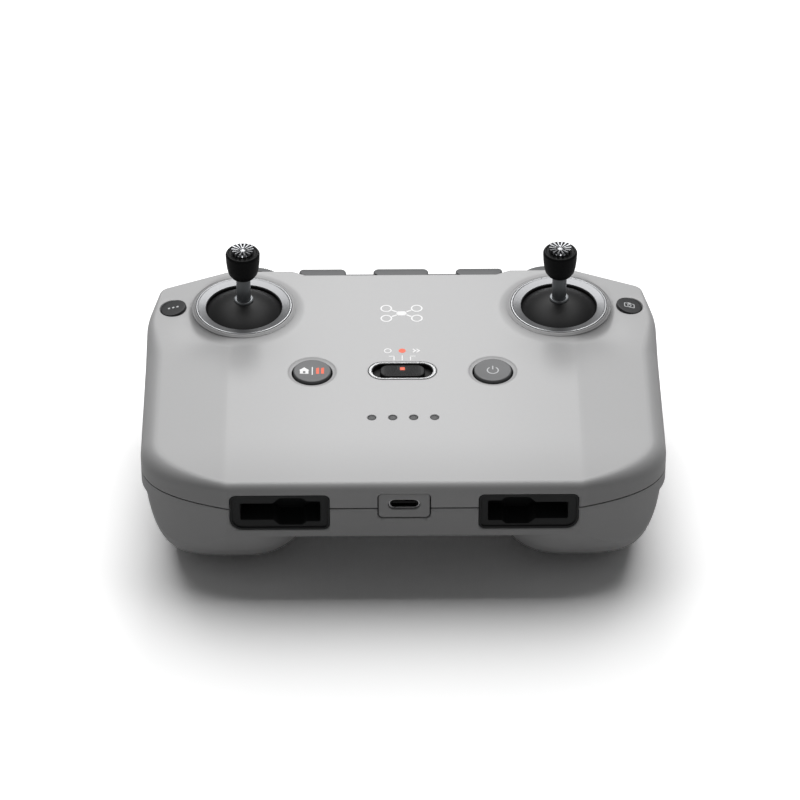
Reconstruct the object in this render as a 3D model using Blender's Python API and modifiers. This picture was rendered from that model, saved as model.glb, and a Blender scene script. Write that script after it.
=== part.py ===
"""Handheld drone remote: two spring-centred sticks on a two-part shell with a phone clamp.

Frame: metres, +X to the right, +Y away from the user, +Z up. The origin is the centre of the
bounding box, on the surface that the two grips rest on. Every place is worked out from the named
sizes below: what belongs to the top is measured down from TOP_Z, what belongs to the far edge is
measured back from BACK_Y, and what belongs to a side is measured in from HALF_WIDTH.
"""
import math

import bmesh
import bpy
from mathutils import Matrix, Vector

MM = 0.001

# Overall sizes
BODY_WIDTH = 150.0 * MM
BODY_DEPTH = 102.0 * MM
BODY_HEIGHT = 44.0 * MM
CONTROL_REACH = 4.2 * MM            # how far the shoulder controls stand out past the far edge
WALL = 2.0 * MM
SKIN = 2.2 * MM                     # thickness of the top face
GAP = 0.3 * MM                      # clearance between neighbouring pieces

HALF_WIDTH = BODY_WIDTH / 2
FRONT_Y = -(BODY_DEPTH + CONTROL_REACH) / 2
BACK_Y = FRONT_Y + BODY_DEPTH
TOP_Z = BODY_HEIGHT
SEAM_Z = TOP_Z - 10.15 * MM

# Plan outline
FRONT_FLAT_HALF = HALF_WIDTH - 25.7 * MM
FRONT_CORNER_DEPTH = 21.1 * MM
CHAMFER_SIDE_Y = BACK_Y - 9.0 * MM  # where the shoulder chamfer would meet the side
CHAMFER_SLOPE = 0.379
SHOULDER_RADIUS = 16.0 * MM
BACK_CORNER_RADIUS = 8.0 * MM
NOTCH_DEPTH = 2.1 * MM

# Top face
PANEL_HALF = FRONT_FLAT_HALF + 0.2 * MM
SIDE_SLOPE = 0.055
ROLL_LENGTH = 17.0 * MM
ROLL_DROP = 1.15 * MM
RIM_ROUND = 3.6 * MM
FRONT_ROUND = 1.5 * MM
BACK_ROUND = 0.8 * MM

# Underside: a flat middle floor with two rounded grips blended into it
GRIP_TOP_Z = TOP_Z - 17.5 * MM
FLOOR_Z = TOP_Z - 21.7 * MM
GRIP_SINK = 0.3 * MM                # the grips' round is cut flat this far up, as a foot
GRIP_OUTER = 24.0 * MM              # round from the grip's spine to the side
GRIP_INNER = 25.0 * MM              # round from the grip's spine to the finger arch
GRIP_SPINE = 4.0 * MM
GRIP_FRONT = 37.1 * MM
GRIP_BACK = 37.9 * MM
FLOOR_FRONT_ROUND = 3.1 * MM
FLOOR_BLEND = 2.8 * MM

# Phone clamp at the far side
STICK_X = HALF_WIDTH - 28.5 * MM
STICK_Y = BACK_Y - 19.7 * MM
BAR_HALF = STICK_X - 15.3 * MM
RECESS_HALF = BAR_HALF + GAP
RECESS_Y = BACK_Y - 7.3 * MM
RECESS_FLOOR_Z = FLOOR_Z + 4.2 * MM
LIP_Z = TOP_Z - 2.5 * MM
NOTCH_HALF = BAR_HALF - 2.7 * MM
NOTCH_RUN = 4.0 * MM
PLATE_HALF = BAR_HALF - 11.2 * MM
PLATE_THICKNESS = 3.2 * MM
PLATE_Z = RECESS_FLOOR_Z + GAP
PLATE_FRONT_Y = FRONT_Y + 6.0 * MM
BAR_Y = BACK_Y - 4.8 * MM
TAB_Y = BACK_Y - NOTCH_DEPTH + GAP
TAB_END_Y = BACK_Y + 2.2 * MM
TAB_WIDTH = 14.8 * MM
TAB_CENTRE_HALF = 8.2 * MM
TAB_Z = TOP_Z - 0.8 * MM
PAD_THICKNESS = 0.7 * MM

# Gimbals under the sticks
CHAMFER_LENGTH = math.hypot(1.0, CHAMFER_SLOPE)
STICK_TO_CHAMFER = ((CHAMFER_SIDE_Y + CHAMFER_SLOPE * (HALF_WIDTH - STICK_X) - STICK_Y)
                    / CHAMFER_LENGTH)
CUP_OUTER = STICK_TO_CHAMFER - WALL - 1.5 * MM
CUP_WALL = 1.0 * MM
CUP_INNER = CUP_OUTER - CUP_WALL
CUP_TOP_Z = TOP_Z - 3.8 * MM
DOME_RADIUS = CUP_INNER - 0.2 * MM
DOME_WALL = 1.0 * MM
DOME_SKIRT = math.radians(62.0)
DOME_APEX_Z = TOP_Z + 2.2 * MM
PIVOT_Z = DOME_APEX_Z - DOME_RADIUS
YOKE_OUTER = 11.0 * MM
YOKE_INNER = 9.6 * MM
YOKE_HEIGHT = 3.0 * MM
AXLE_RADIUS = 1.0 * MM
CUP_FLOOR_Z = PIVOT_Z - 5.0 * MM
CUP_BOTTOM_Z = CUP_FLOOR_Z - CUP_WALL
BEARING_HALF = 2.4 * MM
BEARING_TOP = 1.7 * MM              # above the pivot

# Rings and sticks
RING_OUTER = 14.2 * MM
RING_INNER = 11.05 * MM
COLLAR_TOP_Z = TOP_Z + 0.3 * MM
COLLAR_TOP_RADIUS = 14.7 * MM
COLLAR_FOOT_RADIUS = 17.0 * MM
SLEEVE_WALL = 0.65 * MM
STICK_HOLE = RING_INNER + SLEEVE_WALL + GAP
SHAFT_RADIUS = 2.1 * MM
HEAD_RADIUS = 4.9 * MM
HEAD_BOWL_HEIGHT = 3.6 * MM         # the round underside of the head
HEAD_HEIGHT = 9.4 * MM
HEAD_TOP_Z = DOME_APEX_Z + 18.3 * MM
CROWN_RADIUS = 3.3 * MM
CROWN_HEIGHT = 1.1 * MM
CROWN_RIBS = 12
STUD_RADIUS = 1.2 * MM
STUD_LENGTH = 5.4 * MM

# Buttons and mode slider on the centre panel
BUTTON_X = 26.2 * MM
BUTTON_Y = STICK_Y - 30.9 * MM
BUTTON_RADIUS = 5.4 * MM
BUTTON_DISH = 7.2 * MM
DISH_DEPTH = 0.9 * MM
BUTTON_PROUD = 0.2 * MM
BUTTON_FLANGE = 6.3 * MM
PRESS_TRAVEL = 0.6 * MM
WELL_Y = BUTTON_Y + 0.3 * MM
WELL_HALF_LENGTH = 9.9 * MM
WELL_HALF_WIDTH = 4.2 * MM
WELL_RIM = 1.0 * MM
SLIDER_HALF_LENGTH = 6.6 * MM
SLIDER_HALF_WIDTH = 2.75 * MM
LIGHT_Y = BUTTON_Y - 22.1 * MM
LIGHT_RADIUS = 1.15 * MM
LIGHT_PITCH = 6.0 * MM
CORNER_BUTTON_X = HALF_WIDTH - 7.5 * MM
CORNER_BUTTON_Y = STICK_Y + 1.1 * MM
CORNER_BUTTON_RADIUS = 3.8 * MM
CORNER_BUTTON_LENGTH = 3.4 * MM
CORNER_BUTTON_TILT = math.radians(14.0)
CORNER_BUTTON_Z = TOP_Z - 0.9 * MM

# Shoulder controls
SHOULDER_X = STICK_X - 2.9 * MM
DIAL_RADIUS = 8.9 * MM
DIAL_RIM = 1.8 * MM
DIAL_Y = BACK_Y + CONTROL_REACH - DIAL_RADIUS
DIAL_TOP_Z = TOP_Z - 1.5 * MM
DIAL_HEIGHT = 5.5 * MM
DIAL_HALF_ANGLE = math.radians(60.0)
DIAL_WEB_Z = CUP_TOP_Z + 0.4 * MM
DIAL_WEB = 1.3 * MM
DIAL_AXLE_RADIUS = 0.9 * MM
SHUTTER_HALF = 7.5 * MM
SHUTTER_TRAVEL = 0.6 * MM

# Front face: stick storage and USB
SLOT_OUTER = HALF_WIDTH - 25.6 * MM
SLOT_LENGTH = 28.4 * MM
SLOT_INNER = SLOT_OUTER - SLOT_LENGTH
SLOT_TOP_Z = TOP_Z - 5.3 * MM
SLOT_BOTTOM_Z = TOP_Z - 17.7 * MM
SLOT_ROUND = 3.0 * MM
LINER_DEPTH = 10.8 * MM
LINER_WALL = 1.2 * MM
POCKET_DEPTH = LINER_DEPTH - LINER_WALL
USB_Z = TOP_Z - 8.95 * MM
BEZEL_HALF = 7.25 * MM
BEZEL_TOP_Z = TOP_Z - 5.1 * MM
BEZEL_BOTTOM_Z = TOP_Z - 13.5 * MM
BEZEL_THICKNESS = 2.0 * MM
PORT_HALF_WIDTH = 4.7 * MM
PORT_HALF_HEIGHT = 1.9 * MM
USB_SHELL_WALL = 0.3 * MM
USB_LENGTH = 6.8 * MM

# Electronics
BOARD_TOP_Z = TOP_Z - 5.5 * MM
BOARD_THICKNESS = 1.6 * MM
CELL_LENGTH = BODY_DEPTH - 37.0 * MM
CELL_X = HALF_WIDTH - 23.0 * MM
CELL_BOTTOM_Z = 6.1 * MM
CELL_TOP_Z = CUP_BOTTOM_Z - 0.5 * MM
CELL_RADIUS = (CELL_TOP_Z - CELL_BOTTOM_Z) / 2
SWITCH_HEIGHT = 0.9 * MM

# Case screws
SCREW_X = STICK_X - 22.0 * MM
SCREW_FRONT_Y = FRONT_Y + 18.1 * MM
SCREW_BACK_Y = BACK_Y - 16.9 * MM
SCREW_SHANK = 1.2 * MM
SCREW_HEAD = 2.4 * MM
SCREW_HEAD_HEIGHT = 1.5 * MM
SCREW_SEAT_Z = FLOOR_Z + 4.7 * MM
LOWER_BOSS = 3.6 * MM
UPPER_BOSS = 2.6 * MM

FINE = 40
MEDIUM = 28
COARSE = 16
SLIVER = 0.02 * MM


# ----------------------------------------------------------------------------------------------
# Scene, materials and basic solids


def clear_scene():
    """Remove what the scene starts with."""
    for obj in list(bpy.data.objects):
        bpy.data.objects.remove(obj, do_unlink=True)


def collection(name):
    """Make a collection in the scene."""
    made = bpy.data.collections.new(name)
    bpy.context.scene.collection.children.link(made)
    return made


def material(name, colour, roughness, metallic=0.0):
    """Make a Principled BSDF material."""
    made = bpy.data.materials.new(name)
    made.use_nodes = True
    shader = made.node_tree.nodes["Principled BSDF"]
    shader.inputs["Base Color"].default_value = (*colour, 1.0)
    shader.inputs["Roughness"].default_value = roughness
    shader.inputs["Metallic"].default_value = metallic
    made.diffuse_color = (*colour, 1.0)
    return made


def finish(bm, name, finish_material, place=(0, 0, 0), turn=None, parent=None, smooth=True):
    """Turn a bmesh into a named part object, in the parts collection."""
    bmesh.ops.recalc_face_normals(bm, faces=bm.faces)
    mesh = bpy.data.meshes.new(name)
    bm.to_mesh(mesh)
    bm.free()
    if smooth:
        mesh.shade_smooth()
        mesh.set_sharp_from_angle(angle=math.radians(35))
    obj = bpy.data.objects.new(name, mesh)
    obj.location = place
    if turn is not None:
        obj.rotation_euler = turn
    if parent is not None:
        obj.parent = parent
    mesh.materials.append(finish_material)
    PARTS.objects.link(obj)
    return obj


def cutter(bm, name):
    """Turn a bmesh into a cutter object: drawn as wire and left out of the model."""
    bmesh.ops.recalc_face_normals(bm, faces=bm.faces)
    mesh = bpy.data.meshes.new(name)
    bm.to_mesh(mesh)
    bm.free()
    obj = bpy.data.objects.new(name, mesh)
    obj.hide_render = True
    obj.display_type = "WIRE"
    CUTTERS.objects.link(obj)
    return obj


def combine(target, other, operation="DIFFERENCE"):
    """Add a Boolean modifier to the target."""
    modifier = target.modifiers.new(other.name, "BOOLEAN")
    modifier.operation = operation
    modifier.object = other
    modifier.solver = "EXACT"


def add_box(bm, low, high):
    """Add a box between two corners."""
    size = Vector(high) - Vector(low)
    centre = (Vector(high) + Vector(low)) / 2
    matrix = Matrix.Translation(centre) @ Matrix.Diagonal((*size, 1.0))
    bmesh.ops.create_cube(bm, size=1.0, matrix=matrix)
    return bm


def add_cylinder(bm, radius, start, end, segments=MEDIUM, end_radius=None):
    """Add a cylinder, or a cone, whose axis runs from start to end."""
    start = Vector(start)
    axis = Vector(end) - start
    turn = axis.to_track_quat("Z", "Y").to_matrix().to_4x4()
    matrix = Matrix.Translation(start + axis / 2) @ turn
    bmesh.ops.create_cone(bm, cap_ends=True, segments=segments, radius1=radius,
                          radius2=radius if end_radius is None else end_radius,
                          depth=axis.length, matrix=matrix)
    return bm


def add_prism(bm, outline, low, high, axis="Z"):
    """Add a prism on a plan outline (axis Z), or on an outline in X and Z (axis Y)."""
    def at(point, level):
        return (point[0], point[1], level) if axis == "Z" else (point[0], level, point[1])

    face = bm.faces.new([bm.verts.new(at(point, low)) for point in outline])
    made = bmesh.ops.extrude_face_region(bm, geom=[face])
    moved = [item for item in made["geom"] if isinstance(item, bmesh.types.BMVert)]
    offset = (0, 0, high - low) if axis == "Z" else (0, high - low, 0)
    bmesh.ops.translate(bm, vec=offset, verts=moved)
    return bm


def box(low, high):
    """Make a bmesh that holds one box."""
    return add_box(bmesh.new(), low, high)


def cylinder(radius, start, end, segments=MEDIUM, end_radius=None):
    """Make a bmesh that holds one cylinder or cone."""
    return add_cylinder(bmesh.new(), radius, start, end, segments, end_radius)


def prism(outline, low, high, axis="Z"):
    """Make a bmesh that holds one prism."""
    return add_prism(bmesh.new(), outline, low, high, axis)


def arc(centre, radius, start, end, count):
    """Return points on an arc, with its angles in radians."""
    steps = [start + (end - start) * i / count for i in range(count + 1)]
    return [(centre[0] + radius * math.cos(a), centre[1] + radius * math.sin(a)) for a in steps]


def stadium(half_length, half_width, centre=(0, 0), count=10):
    """Return the outline of a slot with round ends, long in X."""
    reach = half_length - half_width
    quarter = math.pi / 2
    right = arc((centre[0] + reach, centre[1]), half_width, -quarter, quarter, count)
    left = arc((centre[0] - reach, centre[1]), half_width, quarter, 3 * quarter, count)
    return right + left


def rounded_rectangle(low, high, radius, count=4):
    """Return a rectangle's outline with round corners."""
    quarter = math.pi / 2
    corners = [(high[0] - radius, high[1] - radius, 0), (low[0] + radius, high[1] - radius, 1),
               (low[0] + radius, low[1] + radius, 2), (high[0] - radius, low[1] + radius, 3)]
    points = []
    for x, y, turn in corners:
        points += arc((x, y), radius, turn * quarter, (turn + 1) * quarter, count)
    return points


def turned(name, profile, finish_material, place=(0, 0, 0), parent=None, steps=MEDIUM,
           turn=None, closed=False):
    """Make a turned piece: a profile of (radius, height) points and a Screw modifier.

    The profile runs down the outer side, top to bottom. A closed profile makes a ring.
    """
    mesh = bpy.data.meshes.new(name)
    points = [(radius, 0.0, height) for radius, height in profile]
    edges = [(i, i + 1) for i in range(len(points) - 1)]
    if closed:
        edges.append((len(points) - 1, 0))
    mesh.from_pydata(points, edges, [])
    obj = bpy.data.objects.new(name, mesh)
    obj.location = place
    if turn is not None:
        obj.rotation_euler = turn
    if parent is not None:
        obj.parent = parent
    mesh.materials.append(finish_material)
    screw = obj.modifiers.new("turn", "SCREW")
    screw.steps = steps
    screw.render_steps = steps
    screw.use_merge_vertices = True
    screw.merge_threshold = 0.000001
    screw.use_smooth_shade = True
    PARTS.objects.link(obj)
    return obj


def add_turned(bm, profile, centre):
    """Add a solid of revolution about a vertical axis through a plan point."""
    verts = [bm.verts.new((centre[0] + radius, centre[1], height)) for radius, height in profile]
    edges = [bm.edges.new(pair) for pair in zip(verts, verts[1:])]
    bmesh.ops.spin(bm, geom=verts + edges, cent=(*centre, 0), axis=(0, 0, 1),
                   angle=2 * math.pi, steps=MEDIUM, use_merge=True)
    bmesh.ops.remove_doubles(bm, verts=bm.verts, dist=0.000001)


def weld(target):
    """Join the near-double points that a Boolean leaves along a thin sliver."""
    modifier = target.modifiers.new("weld", "WELD")
    modifier.merge_threshold = SLIVER


def joint_empty(name, place, parent=None):
    """Make an empty on a joint's axis, to carry the pieces that move on it."""
    empty = bpy.data.objects.new(name, None)
    empty.empty_display_size = 0.01
    empty.location = place
    if parent is not None:
        empty.parent = parent
    PARTS.objects.link(empty)
    return empty


# ----------------------------------------------------------------------------------------------
# Housing form


def half_outline():
    """Return the right half of the plan outline, from the front to the far edge."""
    quarter = math.pi / 2
    start = Vector((FRONT_FLAT_HALF, FRONT_Y))
    end = Vector((HALF_WIDTH, FRONT_Y + FRONT_CORNER_DEPTH))
    pull_start = Vector((HALF_WIDTH - 12.7 * MM, FRONT_Y + 3.6 * MM))
    pull_end = Vector((HALF_WIDTH, FRONT_Y + 8.6 * MM))
    points = []
    for i in range(11):
        t = i / 10
        point = (start * (1 - t) ** 3 + pull_start * 3 * (1 - t) ** 2 * t
                 + pull_end * 3 * (1 - t) * t ** 2 + end * t ** 3)
        points.append(tuple(point))
    chamfer_turn = math.pi - math.atan2(CHAMFER_SLOPE, 1.0)
    bend = chamfer_turn - quarter
    tangent = SHOULDER_RADIUS * math.tan(bend / 2)
    centre = (HALF_WIDTH - SHOULDER_RADIUS, CHAMFER_SIDE_Y - tangent)
    points += arc(centre, SHOULDER_RADIUS, 0.0, bend, 6)
    back_corner_x = HALF_WIDTH - (BACK_Y - CHAMFER_SIDE_Y) / CHAMFER_SLOPE
    bend_back = quarter - bend
    tangent = BACK_CORNER_RADIUS * math.tan(bend_back / 2)
    centre = (back_corner_x - tangent, BACK_Y - BACK_CORNER_RADIUS)
    points += arc(centre, BACK_CORNER_RADIUS, bend, quarter, 4)
    points.append((NOTCH_HALF + NOTCH_RUN, BACK_Y))
    points.append((NOTCH_HALF, BACK_Y - NOTCH_DEPTH))
    return points


def body_outline(inset=0.0):
    """Return the whole plan outline, moved inward by the inset."""
    half = half_outline()
    points = [Vector(p) for p in half] + [Vector((-x, y)) for x, y in reversed(half)]
    if not inset:
        return points
    moved = []
    for i, point in enumerate(points):
        before = (point - points[i - 1]).normalized()
        after = (points[(i + 1) % len(points)] - point).normalized()
        inward = Vector((-before.y, before.x)) + Vector((-after.y, after.x))
        moved.append(point + inward * inset / (1 + before.dot(after)))
    return moved


def top_height(x, y):
    """Return the height of the top face: flat in the middle, falling to the sides and front."""
    side = max(0.0, abs(x) - PANEL_HALF) * SIDE_SLOPE
    roll = max(0.0, (FRONT_Y + ROLL_LENGTH - y) / ROLL_LENGTH)
    return TOP_Z - side - ROLL_DROP * roll ** 2


def under_height(x, y, wall=0.0):
    """Return the height of the underside: a floor blended into two rounded grips.

    With a wall, it is the inner face, which lies inside the outer one by that much.
    """
    spine_outer = HALF_WIDTH - GRIP_OUTER
    spine_inner = spine_outer - GRIP_SPINE
    across = 0.0
    if abs(x) > spine_outer:
        across = (abs(x) - spine_outer) / (GRIP_OUTER - wall)
    elif abs(x) < spine_inner:
        across = (spine_inner - abs(x)) / (GRIP_INNER - wall)
    along = 0.0
    if y < FRONT_Y + GRIP_FRONT:
        along = (FRONT_Y + GRIP_FRONT - y) / (GRIP_FRONT - wall)
    elif y > BACK_Y - GRIP_BACK:
        along = (y - BACK_Y + GRIP_BACK) / (GRIP_BACK - wall)
    share = max(0.0, 1.0 - across ** 2.7 - along ** 2.2)
    grip = GRIP_TOP_Z - (GRIP_TOP_Z + GRIP_SINK - wall) * share ** 0.625
    near_front = max(0.0, FRONT_Y + wall + FLOOR_FRONT_ROUND - y) / FLOOR_FRONT_ROUND
    floor = FLOOR_Z + wall + 1.8 * MM * near_front ** 2
    mix = min(1.0, max(0.0, 0.5 + 0.5 * (grip - floor) / FLOOR_BLEND))
    blended = grip * (1 - mix) + floor * mix - FLOOR_BLEND * mix * (1 - mix)
    return max(blended, wall - GRIP_SINK if wall > GRIP_SINK else 0.0, 0.0)


def formed_block(outline, flat_z, rough_z, height, cuts_x, cuts_y):
    """Make a prism whose far end follows a height function, on a grid of cuts."""
    bm = prism(outline, flat_z, rough_z)
    for axis, places in ((0, cuts_x), (1, cuts_y)):
        for place in places:
            point = [0.0, 0.0, 0.0]
            normal = [0.0, 0.0, 0.0]
            point[axis] = place
            normal[axis] = 1.0
            bmesh.ops.bisect_plane(bm, geom=bm.verts[:] + bm.edges[:] + bm.faces[:],
                                   dist=0.00001, plane_co=point, plane_no=normal)
    formed = [vert for vert in bm.verts if abs(vert.co.z - rough_z) < 0.00001]
    for vert in formed:
        vert.co.z = height(vert.co.x, vert.co.y)
    return bm


def both_sides(places):
    """Return each place and its mirror image."""
    return [side * place for place in places for side in (-1, 1)]


def upper_cuts():
    """Return the grid cuts of the top face, in X and in Y."""
    across = both_sides([PANEL_HALF])
    roll = [FRONT_Y + ROLL_LENGTH * share for share in (0.2, 0.45, 0.7, 1.0)]
    return across, roll


def lower_cuts():
    """Return the grid cuts of the underside, in X and in Y."""
    spine_outer = HALF_WIDTH - GRIP_OUTER
    spine_inner = spine_outer - GRIP_SPINE
    steps = (0.13, 0.3, 0.5, 0.68, 0.82, 0.93)
    outer = [spine_outer + GRIP_OUTER * share for share in steps]
    inner = [spine_inner - GRIP_INNER * share for share in steps + (1.0,)]
    front = [FRONT_Y + GRIP_FRONT * (1 - share) for share in steps]
    back = [BACK_Y - GRIP_BACK * (1 - share) for share in steps]
    return both_sides(outer + inner), front + back


def cavity(name, upper):
    """Make the hollow of one shell, kept away from the far recess by a wall."""
    outline = body_outline(WALL)
    if upper:
        across, along = upper_cuts()
        bm = formed_block(outline, SEAM_Z - 4 * MM, TOP_Z - SKIN,
                          lambda x, y: top_height(x, y) - SKIN, across, along)
    else:
        across, along = lower_cuts()
        bm = formed_block(outline, SEAM_Z + 4 * MM, 0.0,
                          lambda x, y: under_height(x, y, WALL), across, along)
    bmesh.ops.triangulate(bm, faces=bm.faces)
    hollow = cutter(bm, name)
    wall_block = box((-RECESS_HALF - WALL, RECESS_Y - WALL, -5 * MM),
                     (RECESS_HALF + WALL, BACK_Y + 10 * MM, TOP_Z + 10 * MM))
    combine(hollow, cutter(wall_block, name + "_keep"))
    return hollow


def screw_places():
    """Return the four case screws' places."""
    return [(side * SCREW_X, y) for side in (-1, 1) for y in (SCREW_FRONT_Y, SCREW_BACK_Y)]


def recess_cutter(name):
    """Make the cutter of the clamp's recess in the far face."""
    return cutter(box((-RECESS_HALF, RECESS_Y, RECESS_FLOOR_Z),
                      (RECESS_HALF, BACK_Y + 10 * MM, LIP_Z)), name)


def slot_outline(side):
    """Return a storage slot's opening in X and Z."""
    low, high = sorted((side * SLOT_INNER, side * SLOT_OUTER))
    return rounded_rectangle((low, SLOT_BOTTOM_Z), (high, SLOT_TOP_Z), SLOT_ROUND)


def front_cutters(name):
    """Return the cutters of the two storage slots and of the USB opening."""
    slots = bmesh.new()
    for side in (-1, 1):
        add_prism(slots, slot_outline(side), FRONT_Y - 5 * MM, FRONT_Y + LINER_DEPTH + GAP, "Y")
    opening = rounded_rectangle((-BEZEL_HALF - GAP, BEZEL_BOTTOM_Z - GAP),
                                (BEZEL_HALF + GAP, BEZEL_TOP_Z + GAP), 1.5 * MM)
    add_prism(slots, opening, FRONT_Y - 5 * MM, FRONT_Y + WALL + 1 * MM, "Y")
    return cutter(slots, name)


def build_upper_shell(finish_material):
    """Make the upper shell with its collars, bosses and openings."""
    across, along = upper_cuts()
    bm = formed_block(body_outline(), SEAM_Z + GAP / 2, TOP_Z, top_height, across, along)
    weight = bm.edges.layers.float.new("bevel_weight_edge")
    for edge in bm.edges:
        high = all(vert.co.z > SEAM_Z + 5 * MM for vert in edge.verts)
        rim = len(edge.link_faces) == 2 and any(abs(face.normal.z) < 0.2
                                                for face in edge.link_faces)
        if high and rim and edge.calc_face_angle() > math.radians(60):
            middle = (edge.verts[0].co + edge.verts[1].co) / 2
            at_front = middle.y < FRONT_Y + 1 * MM
            at_back = middle.y > BACK_Y - 4 * MM
            width = FRONT_ROUND if at_front else BACK_ROUND if at_back else RIM_ROUND
            edge[weight] = width / RIM_ROUND
    shell = finish(bm, "upper_shell", finish_material)
    bevel = shell.modifiers.new("rim", "BEVEL")
    bevel.limit_method = "WEIGHT"
    bevel.width = RIM_ROUND
    bevel.segments = 3

    for side, label in ((-1, "left"), (1, "right")):
        collar = cylinder(COLLAR_FOOT_RADIUS, (side * STICK_X, STICK_Y, TOP_Z - 1.6 * MM),
                          (side * STICK_X, STICK_Y, COLLAR_TOP_Z), FINE, COLLAR_TOP_RADIUS)
        combine(shell, cutter(collar, "collar_" + label), "UNION")
    combine(shell, cavity("upper_hollow", True))
    weld(shell)
    bosses = bmesh.new()
    for x, y in screw_places():
        add_cylinder(bosses, UPPER_BOSS, (x, y, SEAM_Z + GAP),
                     (x, y, top_height(x, y) - SKIN / 2), COARSE)
    combine(shell, cutter(bosses, "upper_bosses"), "UNION")

    hole = BUTTON_RADIUS + GAP
    above = 1.0 * MM
    mouth = BUTTON_DISH + (BUTTON_DISH - hole) * above / DISH_DEPTH
    dished_hole = [(0, TOP_Z + above), (mouth, TOP_Z + above), (hole, TOP_Z - DISH_DEPTH),
                   (hole, TOP_Z - 9 * MM), (0, TOP_Z - 9 * MM)]
    holes = bmesh.new()
    for side in (-1, 1):
        add_cylinder(holes, STICK_HOLE, (side * STICK_X, STICK_Y, TOP_Z - 9 * MM),
                     (side * STICK_X, STICK_Y, TOP_Z + 9 * MM), FINE)
        add_turned(holes, dished_hole, (side * BUTTON_X, BUTTON_Y))
        tilt = Vector((side * math.sin(CORNER_BUTTON_TILT), 0, math.cos(CORNER_BUTTON_TILT)))
        seat = Vector((side * CORNER_BUTTON_X, CORNER_BUTTON_Y, CORNER_BUTTON_Z))
        add_cylinder(holes, CORNER_BUTTON_RADIUS + GAP, seat - tilt * 6 * MM,
                     seat + tilt * 4 * MM, MEDIUM)
    for x, y in screw_places():
        add_cylinder(holes, SCREW_SHANK + GAP, (x, y, SEAM_Z - 2 * MM),
                     (x, y, TOP_Z - SKIN - 0.8 * MM), COARSE)
    for i in range(4):
        x = (i - 1.5) * LIGHT_PITCH
        add_cylinder(holes, LIGHT_RADIUS + GAP, (x, LIGHT_Y, TOP_Z - 4 * MM),
                     (x, LIGHT_Y, TOP_Z + 2 * MM), COARSE)
    well = stadium(WELL_HALF_LENGTH + GAP, WELL_HALF_WIDTH + GAP, (0, WELL_Y))
    add_prism(holes, well, TOP_Z - 6 * MM, TOP_Z + 2 * MM)
    combine(shell, cutter(holes, "upper_holes"))
    combine(shell, front_cutters("upper_front"))
    combine(shell, recess_cutter("upper_recess"))
    shoulders = cylinder(DIAL_RADIUS + GAP, (-SHOULDER_X, DIAL_Y, DIAL_TOP_Z - DIAL_HEIGHT - GAP),
                         (-SHOULDER_X, DIAL_Y, DIAL_TOP_Z + GAP), MEDIUM)
    add_box(shoulders, (SHOULDER_X - SHUTTER_HALF - GAP, BACK_Y - 4 * MM,
                        DIAL_TOP_Z - DIAL_HEIGHT - GAP),
            (SHOULDER_X + SHUTTER_HALF + GAP, BACK_Y + 8 * MM, DIAL_TOP_Z + GAP))
    combine(shell, cutter(shoulders, "shoulder_openings"))
    return shell


def build_lower_shell(finish_material):
    """Make the lower shell with its grips, screw bosses and openings."""
    across, along = lower_cuts()
    bm = formed_block(body_outline(), SEAM_Z - GAP / 2, 0.0, under_height, across, along)
    bmesh.ops.triangulate(bm, faces=bm.faces)
    shell = finish(bm, "lower_shell", finish_material)
    combine(shell, cavity("lower_hollow", False))
    weld(shell)
    bosses = bmesh.new()
    for x, y in screw_places():
        add_cylinder(bosses, LOWER_BOSS, (x, y, FLOOR_Z + 0.8 * MM),
                     (x, y, SEAM_Z - GAP), COARSE)
    combine(shell, cutter(bosses, "lower_bosses"), "UNION")
    bores = bmesh.new()
    seats = bmesh.new()
    for x, y in screw_places():
        add_cylinder(bores, SCREW_SHANK + GAP, (x, y, FLOOR_Z - 5 * MM),
                     (x, y, SEAM_Z + 5 * MM), COARSE)
        add_cylinder(seats, SCREW_HEAD + GAP, (x, y, FLOOR_Z - 5 * MM),
                     (x, y, SCREW_SEAT_Z), COARSE)
    combine(shell, cutter(bores, "screw_bores"))
    combine(shell, cutter(seats, "screw_seats"))
    combine(shell, front_cutters("lower_front"))
    combine(shell, recess_cutter("lower_recess"))
    mouth = box((-PLATE_HALF - GAP, RECESS_Y - 6 * MM, PLATE_Z - GAP),
                (PLATE_HALF + GAP, RECESS_Y + 1 * MM, PLATE_Z + PLATE_THICKNESS + GAP))
    combine(shell, cutter(mouth, "plate_mouth"))
    return shell


def build_screws(finish_material):
    """Make the four case screws, each with a hexagon socket."""
    top = TOP_Z - SKIN - 1.3 * MM
    for index, (x, y) in enumerate(screw_places()):
        profile = [(0, top), (SCREW_SHANK, top), (SCREW_SHANK, SCREW_SEAT_Z - GAP),
                   (SCREW_HEAD, SCREW_SEAT_Z - GAP),
                   (SCREW_HEAD, SCREW_SEAT_Z - GAP - SCREW_HEAD_HEIGHT),
                   (0, SCREW_SEAT_Z - GAP - SCREW_HEAD_HEIGHT)]
        screw = turned(f"case_screw_{index + 1}", profile, finish_material, (x, y, 0), steps=COARSE)
        socket = cylinder(1.1 * MM, (x, y, SCREW_SEAT_Z - 6 * MM),
                          (x, y, SCREW_SEAT_Z - 1.0 * MM), 6)
        combine(screw, cutter(socket, f"screw_socket_{index + 1}"))


# ----------------------------------------------------------------------------------------------
# Sticks


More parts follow.
